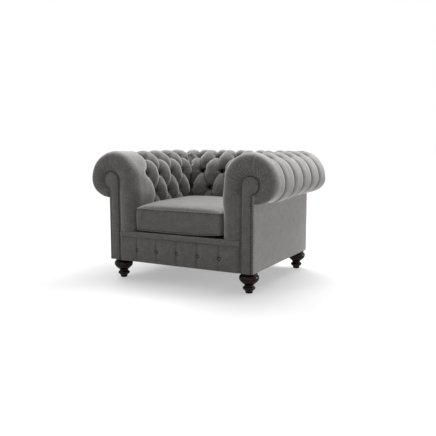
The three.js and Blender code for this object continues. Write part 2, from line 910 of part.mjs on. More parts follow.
function addCushion(skin, faces, flip, skip) {
  skin.grid(faces.top, flip);
  skin.grid(faces.bottom, !flip);
  skin.grid(faces.band, flip, skip);
}

// The cover is open along part of its rear band, where the filling goes in
const openFrom = 2 * cushionCells + cushionCells / 3;
const openTo = 3 * cushionCells - cushionCells / 3;
const openRow = 1;
function cushionCover() {
  const outside = cushionFaces(0);
  const inside = cushionFaces(cushionWall);
  const skin = new Skin();
  const skip = (i, j) => i >= openFrom && i < openTo && j === openRow;
  addCushion(skin, outside, false, skip);
  addCushion(skin, inside, true, skip);
  const span = [];
  for (let i = openFrom; i <= openTo; i += 1) {
    span.push(i);
  }
  const rim = [
    ...span.map((i) => [i, openRow]),
    ...span.reverse().map((i) => [i, openRow + 1]),
    [openFrom, openRow],
  ];
  skin.grid(rim.map(([i, j]) => [outside.band[i][j], inside.band[i][j]]));
  return skin.geometry();
}

function cushionCore() {
  const skin = new Skin();
  addCushion(skin, cushionFaces(cushionWall + fit), false);
  return skin.geometry();
}
place('seat_cushion_cover', cushionCover(), velvet);
place('seat_cushion_core', cushionCore(), foam);

export default armchair;
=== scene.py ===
import bisect
import json
from functools import partial
from math import acos, atan2, copysign, cos, exp, hypot, pi, radians, sin, sqrt, tanh

import bmesh
import bpy
from bpy.props import FloatProperty, FloatVectorProperty, IntProperty, PointerProperty
from mathutils import Matrix, Vector, noise


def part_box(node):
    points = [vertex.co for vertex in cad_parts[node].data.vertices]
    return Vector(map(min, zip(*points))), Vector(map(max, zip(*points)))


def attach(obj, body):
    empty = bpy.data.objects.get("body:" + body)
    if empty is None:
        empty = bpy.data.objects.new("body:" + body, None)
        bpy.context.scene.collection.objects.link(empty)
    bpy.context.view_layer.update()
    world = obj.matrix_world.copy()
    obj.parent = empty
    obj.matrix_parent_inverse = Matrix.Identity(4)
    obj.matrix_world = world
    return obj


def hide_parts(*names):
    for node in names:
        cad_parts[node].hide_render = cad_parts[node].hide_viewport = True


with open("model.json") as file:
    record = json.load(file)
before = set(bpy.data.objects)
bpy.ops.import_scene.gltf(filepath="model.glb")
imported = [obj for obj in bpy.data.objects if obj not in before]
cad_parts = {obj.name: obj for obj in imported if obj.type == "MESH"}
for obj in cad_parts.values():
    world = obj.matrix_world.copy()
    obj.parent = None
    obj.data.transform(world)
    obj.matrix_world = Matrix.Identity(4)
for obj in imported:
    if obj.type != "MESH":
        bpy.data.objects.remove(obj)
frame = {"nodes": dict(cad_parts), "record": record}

bl_info = {
    "name": "Chesterfield armchair",
    "version": (1, 0, 0),
    "blender": (4, 5, 0),
    "location": "3D View > Sidebar > Chair",
    "description": "Upholstery, trim and finishes of a deep-buttoned chesterfield armchair",
    "category": "Add Mesh",
}

MM = 0.001
MIRROR = Vector((-1, 1, 1))
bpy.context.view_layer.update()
CHAIR = "chair"
CUSHION = "seat_cushion"

# Places read from the frame
PAD_LOW, PAD_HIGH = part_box("right_arm_pad")
BACK_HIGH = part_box("back_pad")[1]
BOARD_LOW, BOARD_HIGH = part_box("right_scroll_board")
FACING_LOW, FACING_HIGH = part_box("right_facing_panel")
SIDE_LOW, SIDE_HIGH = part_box("right_outside_arm")
REAR_LOW, REAR_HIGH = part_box("outside_back")
LIP_LOW, LIP_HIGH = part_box("seat_lip")
BORDER_LOW, BORDER_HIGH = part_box("front_border")
SEAT_LOW, SEAT_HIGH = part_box("seat_cushion_cover")
# The boards are cut this much short of the cover's lines
FIT = 0.3 * MM
SEAT_HALF = PAD_LOW.x
PAD_BOTTOM = PAD_LOW.z
SEAM_HEIGHT = SIDE_HIGH.z + FIT
SIDE_REACH = SIDE_HIGH.x - SEAT_HALF
ROLL_REACH = PAD_HIGH.x - SEAT_HALF
SCROLL_RADIUS = (BOARD_HIGH.x - BOARD_LOW.x) / 2 + FIT
SCROLL_INSET = BOARD_LOW.x - FIT - SEAT_HALF
SCROLL_CENTRE = SCROLL_INSET + SCROLL_RADIUS
SCROLL_HEIGHT = BOARD_HIGH.z + FIT - SCROLL_RADIUS
FRONT_Y = PAD_LOW.y
FACING_Y = FACING_LOW.y


def length(name, description, value):
    """A length that is given in millimetres."""
    return FloatProperty(name=name, description=description, default=value * MM, min=0.0, unit="LENGTH")


def tone(name, description, value):
    return FloatVectorProperty(
        name=name, description=description, default=shade(value), size=3, min=0, max=1, subtype="COLOR"
    )


def shade(value):
    """An sRGB hex colour as linear red, green and blue."""
    parts = [int(value[i:i + 2], 16) / 255 for i in (1, 3, 5)]
    return [p / 12.92 if p <= 0.04045 else ((p + 0.055) / 1.055) ** 2.4 for p in parts]


class ChesterfieldSizes(bpy.types.PropertyGroup):
    crest_height: length("Crest height", "Top of the roll above the floor", 762)
    crest_reach: length("Crest reach", "Seat side of the arm to the roll's crest", 158)
    inner_drop: length("Inner drop", "Height of the roll's arc on the seat side", 172)
    outer_drop: length("Outer drop", "Crest down to the roll's outermost line", 166)
    board_outer: length("Stem width", "Seat side to the outside of the arm's stem", 186)
    lean: FloatProperty(name="Lean", description="Rake of the back for each unit of height", default=0.13)
    lean_from: length("Lean height", "Where the back stands at its nominal depth", 431)
    setback: length("Setback", "Back's outer half behind its mitre", 8)
    column_pitch: length("Column pitch", "Spacing of the buttons along a row", 137.5)
    roll_pitch: length("Roll pitch", "Spacing of the top three rows", 147.5)
    row_pitch: length("Row pitch", "Spacing of the rows below the roll", 117.5)
    crest_row: length("Crest row", "Top row past the crest", 72)
    rake: length("Rake", "Set-back of each row of an arm from the row above", 13)
    first_column: length("First column", "Front of the arm to its first column", 170)
    swell: length("Swell", "Swell of the inside faces", 8)
    tuft_depth: length("Tuft depth", "Depth of a button", 76)
    pleat_depth: length("Pleat depth", "Depth of a pleat between buttons", 31)
    flute_depth: length("Flute depth", "Depth of the creases outside the roll", 13)
    corner_round: length("Corner round", "Extra radius of the roll at the corners", 72)
    corner_depth: length("Corner crease", "Depth of the crease at the corners", 28)
    front_round: length("Front roll", "Depth of the smooth roll on the arm's front", 66)
    button_radius: length("Button radius", "Radius of a covered button", 11)
    nail_radius: length("Nail radius", "Radius of a nail's head", 3.8)
    nail_pitch: length("Nail pitch", "Spacing of the nails", 10.9)
    nail_edge: length("Nail edge", "Nails to the edge of the facing", 7.5)
    piping_radius: length("Piping radius", "Radius of the cushion's piping", 3.2)
    crown: length("Crown", "Cushion's middle above its seam", 46)
    bolster: length("Bolster", "Front roll above the roll behind it", 8)
    sag: length("Sag", "Hang of the roll below its seam near the front", 15)
    arm_rows: IntProperty(name="Rows", description="Rows of buttons, from the crest down", default=4)


class ChesterfieldColours(bpy.types.PropertyGroup):
    velvet: tone("Velvet", "Ground colour of the velvet", "#696765")
    velvet_light: tone("Velvet, brushed up", "Pile brushed towards the light", "#8f8d8a")
    # Near-black tone painted as shade into pleats, button holes, creases and gaps
    velvet_painted_shade: tone("Velvet, crushed", "Pile in a deep fold", "#0c0909")
    mahogany: tone("Mahogany", "Stained feet", "#150805")
    mahogany_light: tone("Mahogany grain", "Lighter grain of the feet", "#2a110b")
    brass: tone("Aged brass", "Nail heads", "#080605")
    brass_light: tone("Rubbed brass", "Nail heads where they are rubbed", "#16110d")


def sizes():
    return bpy.context.scene.chesterfield_sizes


def colours():
    return bpy.context.scene.chesterfield_colours


# Materials
def node(tree, kind, inputs=(), **settings):
    """Adds a shader node, sets its properties, and fills its inputs with values or links."""
    new = tree.nodes.new("ShaderNode" + kind)
    for key, value in settings.items():
        setattr(new, key, value)
    for key, value in dict(inputs).items():
        if isinstance(value, bpy.types.NodeSocket):
            tree.links.new(value, new.inputs[key])
        else:
            new.inputs[key].default_value = value
    return new


def rgba(colour):
    return (*colour, 1.0)


def velvet(tree, place):
    """Cotton velvet with a short cut pile: dark seen straight on, pale where the pile turns its side."""
    # Hand marks 40 mm across, and a mottle of the pile drawn at 7 mm so that it shows
    marks = node(tree, "TexNoise", {"Vector": place, "Scale": 1 / (40 * MM)})
    pile = node(tree, "TexNoise", {"Vector": place, "Scale": 1 / (7 * MM), "Detail": 3.0}).outputs["Fac"]
    faint = node(tree, "Math", {0: marks.outputs["Fac"], 1: 0.45}, operation="MULTIPLY")
    mottle = node(tree, "Math", {0: faint.outputs[0], 1: pile}, operation="ADD")
    spread = node(tree, "MapRange", {"Value": mottle.outputs[0], "From Min": 0.44, "From Max": 1.01})
    # A mix of colours has its share in socket 0, its two tones in 6 and 7, and the result in 2
    tones = {0: spread.outputs[0], 6: rgba(colours().velvet), 7: rgba(colours().velvet_light)}
    colour = node(tree, "Mix", tones, data_type="RGBA")
    # The pile's tips stand up to 0.8 mm off the ground weave
    bump = node(tree, "Bump", {"Height": pile, "Strength": 0.35, "Distance": 0.8 * MM})
    brushed = node(tree, "BsdfPrincipled", {
        "Base Color": colour.outputs[2], "Normal": bump.outputs[0], "Roughness": 0.95,
        "Specular IOR Level": 0.15, "Sheen Weight": 1.0, "Sheen Roughness": 0.5,
        "Sheen Tint": rgba(shade("#f4f2f1")),
    })
    # Painted shade: in pleats, holes, creases and gaps a flat near-black shader without sheen is mixed in
    # by the fold attribute
    fold_shade = node(tree, "Attribute", attribute_name="fold").outputs["Fac"]
    painted_shade = node(tree, "BsdfDiffuse", {"Color": rgba(colours().velvet_painted_shade)})
    return node(tree, "MixShader", {0: fold_shade, 1: brushed.outputs[0], 2: painted_shade.outputs[0]})


def mahogany(tree, place):
    """Turned hardwood, stained nearly black under gloss lacquer: sharp highlights, grain only in them."""
    # Grain lines 3 mm apart that run up the foot
    stretched = node(tree, "Mapping", {"Vector": place, "Scale": (1.0, 1.0, 0.12)})
    grain = node(tree, "TexNoise", {
        "Vector": stretched.outputs[0], "Scale": 1 / (3 * MM), "Detail": 4.0, "Distortion": 0.4,
    })
    tones = {0: grain.outputs["Fac"], 6: rgba(colours().mahogany), 7: rgba(colours().mahogany_light)}
    colour = node(tree, "Mix", tones, data_type="RGBA")
    return node(tree, "BsdfPrincipled", {
        "Base Color": colour.outputs[2], "Roughness": 0.4, "Specular IOR Level": 0.0,
        "Coat Weight": 0.34, "Coat Roughness": 0.03,
    })


def brass(tree, place):
    """Brass nails darkened with age: dull tarnish and rubbed bright brass in random blotches."""
    # Tarnish in blotches of 4 mm
    tarnish = node(tree, "TexNoise", {"Vector": place, "Scale": 1 / (4 * MM)}).outputs["Fac"]
    tones = {0: tarnish, 6: rgba(colours().brass), 7: rgba(colours().brass_light)}
    colour = node(tree, "Mix", tones, data_type="RGBA")
    rough = node(tree, "MapRange", {"Value": tarnish, "To Min": 0.28, "To Max": 0.5})
    return node(tree, "BsdfPrincipled", {
        "Base Color": colour.outputs[2], "Metallic": 1.0, "Roughness": rough.outputs[0],
        "Specular Tint": rgba(shade("#5c5044")),
    })


def fibre(dark, light, size, roughness, metallic, tree, place):
    """A plain finish whose colour wanders between two tones, over blotches of one size."""
    grain = node(tree, "TexNoise", {"Vector": place, "Scale": 1 / size, "Detail": 4.0}).outputs["Fac"]
    tones = {0: grain, 6: rgba(shade(dark)), 7: rgba(shade(light))}
    colour = node(tree, "Mix", tones, data_type="RGBA")
    bump = node(tree, "Bump", {"Height": grain, "Strength": 0.3, "Distance": 0.5 * MM})
    return node(tree, "BsdfPrincipled", {
        "Base Color": colour.outputs[2], "Normal": bump.outputs[0],
        "Roughness": roughness, "Metallic": metallic,
    })


def weave(dark, light, thread, tree, place):
    """Plain-woven cloth: crossing threads of one spacing, darker in the gaps between them."""
    bands = {"Vector": place, "Scale": 1 / (thread * 2 * pi), "Distortion": 1.5}
    warp = node(tree, "TexWave", bands, bands_direction="X").outputs["Fac"]
    weft = node(tree, "TexWave", bands, bands_direction="Y").outputs["Fac"]
    crossed = node(tree, "Math", {0: warp, 1: weft}, operation="MULTIPLY").outputs[0]
    tones = {0: crossed, 6: rgba(shade(dark)), 7: rgba(shade(light))}
    colour = node(tree, "Mix", tones, data_type="RGBA").outputs[2]
    return node(tree, "BsdfPrincipled", {"Base Color": colour, "Roughness": 0.95})


def seen_directly(tree):
    """1 for what the camera sees, straight or mirrored, and 0 for light that falls on things."""
    path = node(tree, "LightPath").outputs
    seen = path["Is Camera Ray"]
    for ray in ("Is Glossy Ray", "Is Transmission Ray"):
        seen = node(tree, "Math", {0: seen, 1: path[ray]}, operation="MAXIMUM").outputs[0]
    return seen


# The floor's glow and greys: what it sends back to the chair, and what the camera sees
FLOOR_LIFT = 0.39
FLOOR_BOUNCE = "#adadad"
FLOOR_SEEN = "#cfcfcf"


def studio_floor(tree, _place):
    """Matt white paper: white to the eye where the light is unbroken, with the shadow left in it."""
    seen = seen_directly(tree)
    lift = node(tree, "Math", {0: seen, 1: FLOOR_LIFT}, operation="MULTIPLY")
    glow = node(tree, "Emission", {"Strength": lift.outputs[0]})
    tones = {0: seen, 6: rgba(shade(FLOOR_BOUNCE)), 7: rgba(shade(FLOOR_SEEN))}
    colour = node(tree, "Mix", tones, data_type="RGBA")
    matt = node(tree, "BsdfDiffuse", {"Color": colour.outputs[2]})
    return node(tree, "AddShader", {0: matt.outputs[0], 1: glow.outputs[0]})


# For each slot of the record, and for the floor: the material's name and what lays its nodes
FINISHES = {
    "grey_velvet": ("cotton_velvet", velvet),
    "dark_mahogany": ("lacquered_mahogany", mahogany),
    "antique_brass": ("aged_brass", brass),
    "studio_floor": ("studio_floor", studio_floor),
    # Cut polyether foam: pale, matt and finely pitted
    "foam_filling": ("cut_foam", partial(fibre, "#d6c9a6", "#e8dfc6", 6 * MM, 0.9, 0.0)),
    # Planed beech: warm and pale, in soft figure
    "beech_frame": ("planed_beech", partial(fibre, "#a8824f", "#c9a671", 20 * MM, 0.6, 0.0)),
    # Zinc plate: a cool grey metal, dull from the bath
    "zinc_steel": ("zinc_plated_steel", partial(fibre, "#7d8084", "#a2a5a8", 10 * MM, 0.38, 1.0)),
    # Jute hessian: coarse and open, straw brown
    "jute_hessian": ("jute_hessian", partial(weave, "#6d5a3a", "#b89d6f", 3 * MM)),
    # Cambric: a thin black cloth, its weave drawn coarser than real so that it shows
    "black_cambric": ("black_cambric", partial(weave, "#131315", "#232326", 2 * MM)),
}


def finish(slot):
    """The material of a slot, whose nodes are made once."""
    name, surface = FINISHES[slot]
    made = bpy.data.materials.get(name)
    if not made:
        made = bpy.data.materials.new(name)
        made.use_nodes = True
        tree = made.node_tree
        tree.nodes.clear()
        place = node(tree, "TexCoord").outputs["Object"]
        node(tree, "OutputMaterial", {"Surface": surface(tree, place).outputs[0]})
    return made


# Mesh helpers
def link(name, data):
    made = bpy.data.objects.new(name, data)
    bpy.context.scene.collection.objects.link(made)
    return made


def add_mesh(name, bm, slot):
    mesh = bpy.data.meshes.new(name)
    bm.to_mesh(mesh)
    bm.free()
    mesh.materials.append(finish(slot))
    return link(name, mesh)


def add_object(name, bm, body=CHAIR, slot="grey_velvet", smooth=True):
    """Turns a bmesh into a piece that rides on a body."""
    piece = add_mesh(name, bm, slot)
    if smooth:
        piece.data.shade_smooth()
    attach(piece, body)
    return piece


def mirror_in_x(bm):
    bmesh.ops.scale(bm, vec=MIRROR, verts=bm.verts)
    bmesh.ops.reverse_faces(bm, faces=bm.faces)


def add_pair(label, replaced, make, slot="grey_velvet", smooth=True):
    """A piece on the right and its mirror image on the left."""
    for side in ("right", "left"):
        bm = make()
        if side == "left":
            mirror_in_x(bm)
        piece = add_object(f"{side}_{label}", bm, slot=slot, smooth=smooth)
        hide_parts(f"{side}_{replaced}")


def sheet(across, up):
    """A grid from -0.5 to 0.5 whose points carry the painted shade of a fold."""
    bm = bmesh.new()
    bmesh.ops.create_grid(bm, x_segments=across, y_segments=up, size=0.5)
    return bm, bm.verts.layers.float.new("fold")


def close_back(bm, depth):
    """Draws the open edge of a sheet back to a depth and closes it there."""
    rim = [edge for edge in bm.edges if edge.is_boundary]
    grown = bmesh.ops.extrude_edge_only(bm, edges=rim)["geom"]
    verts = [part for part in grown if isinstance(part, bmesh.types.BMVert)]
    edges = [part for part in grown if isinstance(part, bmesh.types.BMEdge)]
    for vert in verts:
        vert.co.y = depth
    bmesh.ops.edgeloop_fill(bm, edges=edges)
    bmesh.ops.recalc_face_normals(bm, faces=bm.faces)


def ease(value, low, high):
    """A smooth rise from 0 at low to 1 at high."""
    share = min(1.0, max(0.0, (value - low) / (high - low)))
    return share * share * (3 - 2 * share)


def mix(a, b, share):
    return a + (b - a) * share


def bell(offset, width):
    return exp(-((offset / width) ** 2))


def wrinkle(place, size, seed):
    return noise.noise(place / size + Vector((seed, 0.0, 0.0)))


class Line:
    """A line of points in the section's plane, read by the distance along it."""

    def __init__(self, points):
        self.points = points
        self.stops = [0.0]
        for a, b in zip(points, points[1:]):
            self.stops.append(self.stops[-1] + (b - a).length)
        self.length = self.stops[-1]

    def at(self, distance):
        distance = min(max(distance, 0.0), self.length)
        k = min(max(bisect.bisect_right(self.stops, distance) - 1, 0), len(self.points) - 2)
        share = (distance - self.stops[k]) / (self.stops[k + 1] - self.stops[k])
        return self.points[k].lerp(self.points[k + 1], share)

    def out(self, distance):
        """The direction out of the padding, to the left of the way along the line."""
        step = 0.5 * MM
        way = (self.at(distance + step) - self.at(distance - step)).normalized()
        return Vector((-way.y, way.x))


def arc(centre, radii, start, end, steps=60):
    angles = [mix(start, end, k / steps) for k in range(steps + 1)]
    return [Vector((centre[0] + radii[0] * cos(t), centre[1] + radii[1] * sin(t))) for t in angles]


# The flat of the inside face swells from a little below the cushion's top seam
FACE_STEPS = 24
FACE_TUCK = 6 * MM
# The third row of buttons sits a little above an even spacing
THIRD_ROW_RISE = 8 * MM
# The last of the section lies over the board's stem, the rest over its round head
STEM_RUN = 78 * MM


class Section:
    """The padded section of the arms and back: how far out it reaches and how high it is."""

    def __init__(self):
        s = sizes()
        inner = s.crest_height - s.inner_drop
        outermost = s.crest_height - s.outer_drop
        face = [Vector((0.0, PAD_BOTTOM))]
        for k in range(1, FACE_STEPS + 1):
            share = k / FACE_STEPS
            out = sin(pi * share) ** 2
            face.append(Vector((-s.swell * out, mix(s.lean_from - FACE_TUCK, inner, share))))
        over = arc((s.crest_reach, inner), (s.crest_reach, s.inner_drop), pi, pi / 2)
        outer = arc((s.crest_reach, outermost), (ROLL_REACH - s.crest_reach, s.outer_drop), pi / 2, 0)
        hollow = (ROLL_REACH - SIDE_REACH, outermost - SEAM_HEIGHT)
        under = arc((SIDE_REACH, outermost), hollow, 0, -pi / 2)
        self.line = Line(face + over[1:] + outer[1:] + under[1:])
        self.length = self.line.length
        self.face_length = Line(face).length
        crest = self.face_length + Line(over).length
        self.outermost = crest + Line(outer).length
        self.rows = [crest + s.crest_row]
        steps = (s.roll_pitch, s.roll_pitch - THIRD_ROW_RISE, s.row_pitch + THIRD_ROW_RISE, s.row_pitch)
        for step in steps:
            self.rows.append(self.rows[-1] - step)
        end = -acos((s.board_outer - SCROLL_CENTRE) / SCROLL_RADIUS)
        head = arc((SCROLL_CENTRE, SCROLL_HEIGHT), (SCROLL_RADIUS, SCROLL_RADIUS), pi, end)
        self.head_run = self.length - STEM_RUN - self.face_length
        self.head = Line(head)
        self.stem_top = head[-1]

    def core(self, along):
        """The matching point of the scroll board's outline."""
        if along <= self.face_length:
            height = mix(PAD_BOTTOM, SCROLL_HEIGHT, along / self.face_length)
            return Vector((SCROLL_INSET, height))
        past = along - self.face_length
        if past <= self.head_run:
            return self.head.at(self.head.length * past / self.head_run)
        down = (past - self.head_run) / STEM_RUN
        return self.stem_top.lerp(Vector((self.stem_top.x, SEAM_HEIGHT)), down)

    def row_at(self, along):
        """The place over the section counted in rows: 0 at the top row, -1 at the one below."""
        if along >= self.rows[2]:
            return (along - self.rows[0]) / (self.rows[0] - self.rows[2]) * 2
        return (along - self.rows[2]) / (self.rows[2] - self.rows[4]) * 2 - 2

    def lean(self, height, along):
        """The back's rake, which ends over the crest."""
        s = sizes()
        turn = ease(along, self.rows[0] - 1.2 * s.roll_pitch, self.outermost - s.roll_pitch / 3)
        return mix(s.lean * (height - s.lean_from), s.setback, turn)


# How round a pillow and a flute are: the higher, the flatter on top
PILLOW = 2.3
FLUTE = 4.5
# A button's hole, its soft rim, and the rim's share of the depth
HOLE = 21 * MM
HOLE_RIM = 48 * MM
RIM_SHARE = 0.15
# How dark the painted shade in a pleat, a flute's crease and a button's hole is, and how wide a pleat's
# painted line is
PLEAT_SHADE = 0.3
FLUTE_SHADE = 0.85
BUTTON_SHADE = 0.92
PLEAT_SHADE_WIDTH = 4 * MM
# Share of the pull at the top row, and of the bolster's width up to the first button
TOP_PULL = 0.5
BOLSTER_SIDE = 0.86


def ridge(share, fullness=PILLOW):
    """The round of the padding from its crease, 0, to its middle, 1."""
    return (1 - (1 - min(1.0, share)) ** fullness) ** 0.62


def dip(distance):
    """The hole round a button, with steep sides and a soft rim."""
    return (1 - RIM_SHARE) / (1 + (distance / HOLE) ** 4) + RIM_SHARE * bell(distance, HOLE_RIM)


def fold(gap, button, pleat=PLEAT_SHADE):
    """How much painted shade the cover gets, from the distance to a pleat and the depth of the button's
    hole.
    """
    return max(pleat * bell(gap, PLEAT_SHADE_WIDTH), BUTTON_SHADE * ease(button, 0.32, 0.82))


def tuft(column, row, down, front, last_flute):
    """Depth and painted shade of the cover at a place counted in columns and rows from the top row."""
    s = sizes()
    across = s.column_pitch
    pleat = mix(s.pleat_depth, s.flute_depth, ease(row, -1.1, 0.4))
    pull = (s.tuft_depth - s.pleat_depth) * mix(1.0, TOP_PULL, ease(row, -0.7, -0.3))
    if row > 0:
        crease = min(max(round(column), 0 if front else -9), last_flute)
        gap = abs(column - crease) * across
        share = gap / (0.5 * across)
        high = mix(ridge(share) ** 2, ridge(share, FLUTE), ease(row, 0, 0.5))
        button = dip(hypot(gap, row * down))
        # Painted shade in the crease, darker over the roll's flutes
        dark = mix(PLEAT_SHADE, FLUTE_SHADE, ease(row, 0, 0.4))
        return pleat * (1 - high) + pull * button, fold(gap, button, dark)
    first = abs(row - 2 * round(row / 2)) / 2
    if front and column < first:
        gap = (first - column) * across * BOLSTER_SIDE
        near_row = round(row)
        near_column = (near_row % 2) / 2
        high = ridge(gap / (0.5 * across))
    else:
        rise, fall = column + row / 2, column - row / 2
        spacing = 1 / hypot(1 / across, 0.5 / down)
        gaps = [abs(value - round(value)) * spacing for value in (rise, fall)]
        high = ridge(gaps[0] / (0.5 * spacing)) * ridge(gaps[1] / (0.5 * spacing))
        gap = min(gaps)
        near_column = (round(rise) + round(fall)) / 2
        near_row = round(rise) - round(fall)
    button = dip(hypot((column - near_column) * across, (row - near_row) * down))
    return pleat * (1 - high) + pull * button, fold(gap, button)


def corner_run(start, end, radius, share):
    """Place on the run to a round corner: how far along, how far turned in, and how far from its end."""
    straight = end - radius - start
    whole = straight + radius * pi / 4
    gone = share * whole
    angle = max(0.0, gone - straight) / max(radius, 1e-9)
    run = start + gone if gone <= straight else end - radius + radius * sin(angle)
    return run, radius * (1 - cos(angle)), whole - gone


# Where the rake of the arm's columns starts, and how far forward the top row sits
RAKE_FROM = 1.1
TOP_ROW_FORWARD = 17 * MM
# How much wider each row of the back is than the row above it
ROW_SPREAD = 0.035
# The tufting fades out above the seam under the roll, and near a corner
END_FADE = 70 * MM
CORNER_FADE = 55 * MM
# The mitre's crease: the rows that have buttons on it, and how dark and wide its painted shade is
MITRE_ROWS = (-3.5, -0.6)
MITRE_SHADE = 0.6
MITRE_WIDTH = 9 * MM
# Extra radius of the corners over the crest, and the runs over which it and the bolster set in
CREST_ROUNDER = 15 * MM
ROUNDER_RUN = 0.2
BOLSTER_RUN = 0.15


class Row:
    """One line of the padding along the arm or back, at a fixed distance over the section."""

    def __init__(self, section, along):
        s = sizes()
        self.row = section.row_at(along)
        self.down = s.roll_pitch if self.row > -2 else s.row_pitch
        below = -min(self.row, 0.0)
        self.shift = s.rake * (below - RAKE_FROM) - TOP_ROW_FORWARD * max(0.0, 1 - below)
        self.spread = s.column_pitch * (1 + ROW_SPREAD * below)
        self.point = section.line.at(along)
        self.out = section.line.out(along)
        self.arm_out = Vector((self.out.x, 0, self.out.y))
        self.back_out = Vector((0, self.out.x, self.out.y))
        self.lean = section.lean(self.point.y, along)
        self.core = section.core(along)
        self.end_fade = ease(section.length - along, 0, END_FADE)
        pulled = 0.0
        if MITRE_ROWS[0] < self.row < MITRE_ROWS[1]:
            pulled = dip(abs(self.row - round(self.row)) * self.down)
        crease = s.corner_depth + (s.tuft_depth - s.corner_depth) * pulled
        self.mitre_depth = crease * self.end_fade
        # Painted shade along the mitre's crease, darkest at its buttons
        self.mitre_shade = max(MITRE_SHADE, ease(pulled, 0.3, 0.8)) * self.end_fade * (self.row < 0)
        self.mitre = self.point - self.out * self.mitre_depth
        self.face_y = BACK_HIGH.y - s.setback - ROLL_REACH + self.lean
        self.end_x = SEAT_HALF + self.mitre.x
        self.end_y = self.face_y + self.mitre.x
        past = (along - section.outermost) / (section.length - section.outermost)
        rounder = CREST_ROUNDER * ease(section.outermost - along, 0, ROUNDER_RUN)
        self.radius = max(0.0, self.mitre.x - SIDE_REACH + s.corner_round * min(1.0, 1 - past) + rounder)
        self.hang = s.sag * sin(pi * min(1.0, max(0.0, past)))
        start = section.face_length
        self.bolster = s.bolster * ease(along, start, start + BOLSTER_RUN)

    def pressed(self, depth):
        return self.point - self.out * depth

    def drawn(self, column, rest, front, last_flute):
        """Depth and painted shade of the cover at a column, and a distance from the corner."""
        near = 1 - ease(rest, 0, CORNER_FADE)
        depth, fold_shade = tuft(column, self.row, self.down, front, last_flute)
        depth = mix(depth * self.end_fade, self.mitre_depth, near)
        return depth, mix(fold_shade * self.end_fade, self.mitre_shade * exp(-rest / MITRE_WIDTH), near)


# Fineness of the padding's sheet over the section and along it, and its thickness
PAD_STEP = 5 * MM
ARM_COLUMNS = 190
BACK_COLUMNS = 240
PAD_WALL = 7 * MM
# The uneven stuffing, which dies out at the corners
SOFT_SIZE = 45 * MM
SOFT_DEPTH = 1.2 * MM
SOFT_RUN = 0.1
ARM_SEED = 3.0
BACK_SEED = 9.0
# The sag is full behind the bolster and gone half way along the arm
FRONT_SAG = 0.4
SAG_RUN = 0.1
SAG_END = (0.2, 0.52)
# The arm's front: its share of the sheet, how far it turns in, and where it meets the board
CAP_SHARE = 0.16
CAP_TURN = 0.8 * pi
CORE_Y = BOARD_LOW.y - 4 * MM
# Gathers round the head: how many, how deep, how dark their painted shade is, and the long one
GATHERS = 14
GATHER_DEPTH = 5 * MM
GATHER_SHADE = 0.3
LONG_FOLD = (53, 80)
LONG_WIDTH = 0.045
LONG_DEPTH = 3 * MM


def gathers(row, share):
    """Depth and painted shade of the gathers on the arm's front, from its rim, 0, to the facing, 1."""
    if row.core.x <= SCROLL_INSET or row.core.y <= SCROLL_HEIGHT - SCROLL_RADIUS:
        return 0.0, 0.0
    turn = atan2(row.core.y - SCROLL_HEIGHT, row.core.x - SCROLL_CENTRE)
    uneven = 2.2 * wrinkle(Vector((turn, 0, 0)), 0.3, 1.0)
    pinch = 1 - abs(sin(turn * GATHERS + uneven)) ** 0.6
    # One long fold runs from the crest down towards the head
    long = bell(turn - radians(mix(*LONG_FOLD, share)), LONG_WIDTH)
    long *= ease(share, 0.0, 0.25) * (1 - ease(share, 0.45, 0.8))
    depth = GATHER_DEPTH * pinch * ease(share, 0.36, 0.95) + LONG_DEPTH * long
    # Painted shade in the gathers' creases and along the long fold
    return depth, GATHER_SHADE * max(pinch * ease(share, 0.4, 0.95), long)


def cap(row, share):
    """Place and painted shade of the arm's front, from its rim, 0, to where the facing covers it, 1."""
    angle = CAP_TURN * share
    flat = row.point.lerp(row.core, (1 - cos(angle)) / (1 - cos(CAP_TURN)))
    before_rim = angle < pi / 2
    back = sizes().front_round if before_rim else (CORE_Y - FRONT_Y) / (1 - sin(CAP_TURN))
    y = FRONT_Y + back * (1 - sin(angle))
    sag = FRONT_SAG * row.hang * cos(min(angle, pi / 2))
    place = Vector((SEAT_HALF + flat.x, y, flat.y - sag))
    out = Vector((row.out.x * cos(angle), -sin(angle), row.out.y * cos(angle)))
    soft = wrinkle(place, SOFT_SIZE, ARM_SEED) * SOFT_DEPTH * (1 - share)
    fuller = row.bolster * sin(2 * angle) ** 2 * before_rim
    gather, fold_shade = gathers(row, share)
    return place + out * (soft + fuller - gather), fold_shade


def pad_mesh(section, columns, locate):
    """A sheet laid over the section by locate(row, share), which gives each place and its painted shade.
    """
    count = round(section.length / PAD_STEP)
    rows = [Row(section, section.length * k / count) for k in range(count + 1)]
    bm, fold_shade_layer = sheet(columns, count)
    for vert in bm.verts:
        vert.co, vert[fold_shade_layer] = locate(rows[round((vert.co.y + 0.5) * count)], vert.co.x + 0.5)
    return bm


def arm_pad(section):
    s = sizes()
    first_y = FRONT_Y + s.first_column
    start_y = FRONT_Y + s.front_round

    def locate(row, share):
        if share < CAP_SHARE:
            return cap(row, 1 - share / CAP_SHARE)
        gone = (share - CAP_SHARE) / (1 - CAP_SHARE)
        run, drop, rest = corner_run(start_y, row.end_y, row.radius, gone)
        depth, fold_shade = row.drawn((run - first_y - row.shift) / s.column_pitch, rest, True, 4)
        point = row.pressed(depth)
        hang = row.hang * mix(FRONT_SAG, 1, ease(run - start_y, 0, SAG_RUN))
        hang *= 1 - ease(run - FRONT_Y, *SAG_END)
        place = Vector((SEAT_HALF + point.x - drop, run, point.y - hang))
        soft = wrinkle(place, SOFT_SIZE, ARM_SEED) * SOFT_DEPTH * ease(rest, 0, SOFT_RUN)
        return place + row.arm_out * soft, fold_shade

    bm = pad_mesh(section, ARM_COLUMNS, locate)
    bmesh.ops.reverse_faces(bm, faces=bm.faces)
    return bm


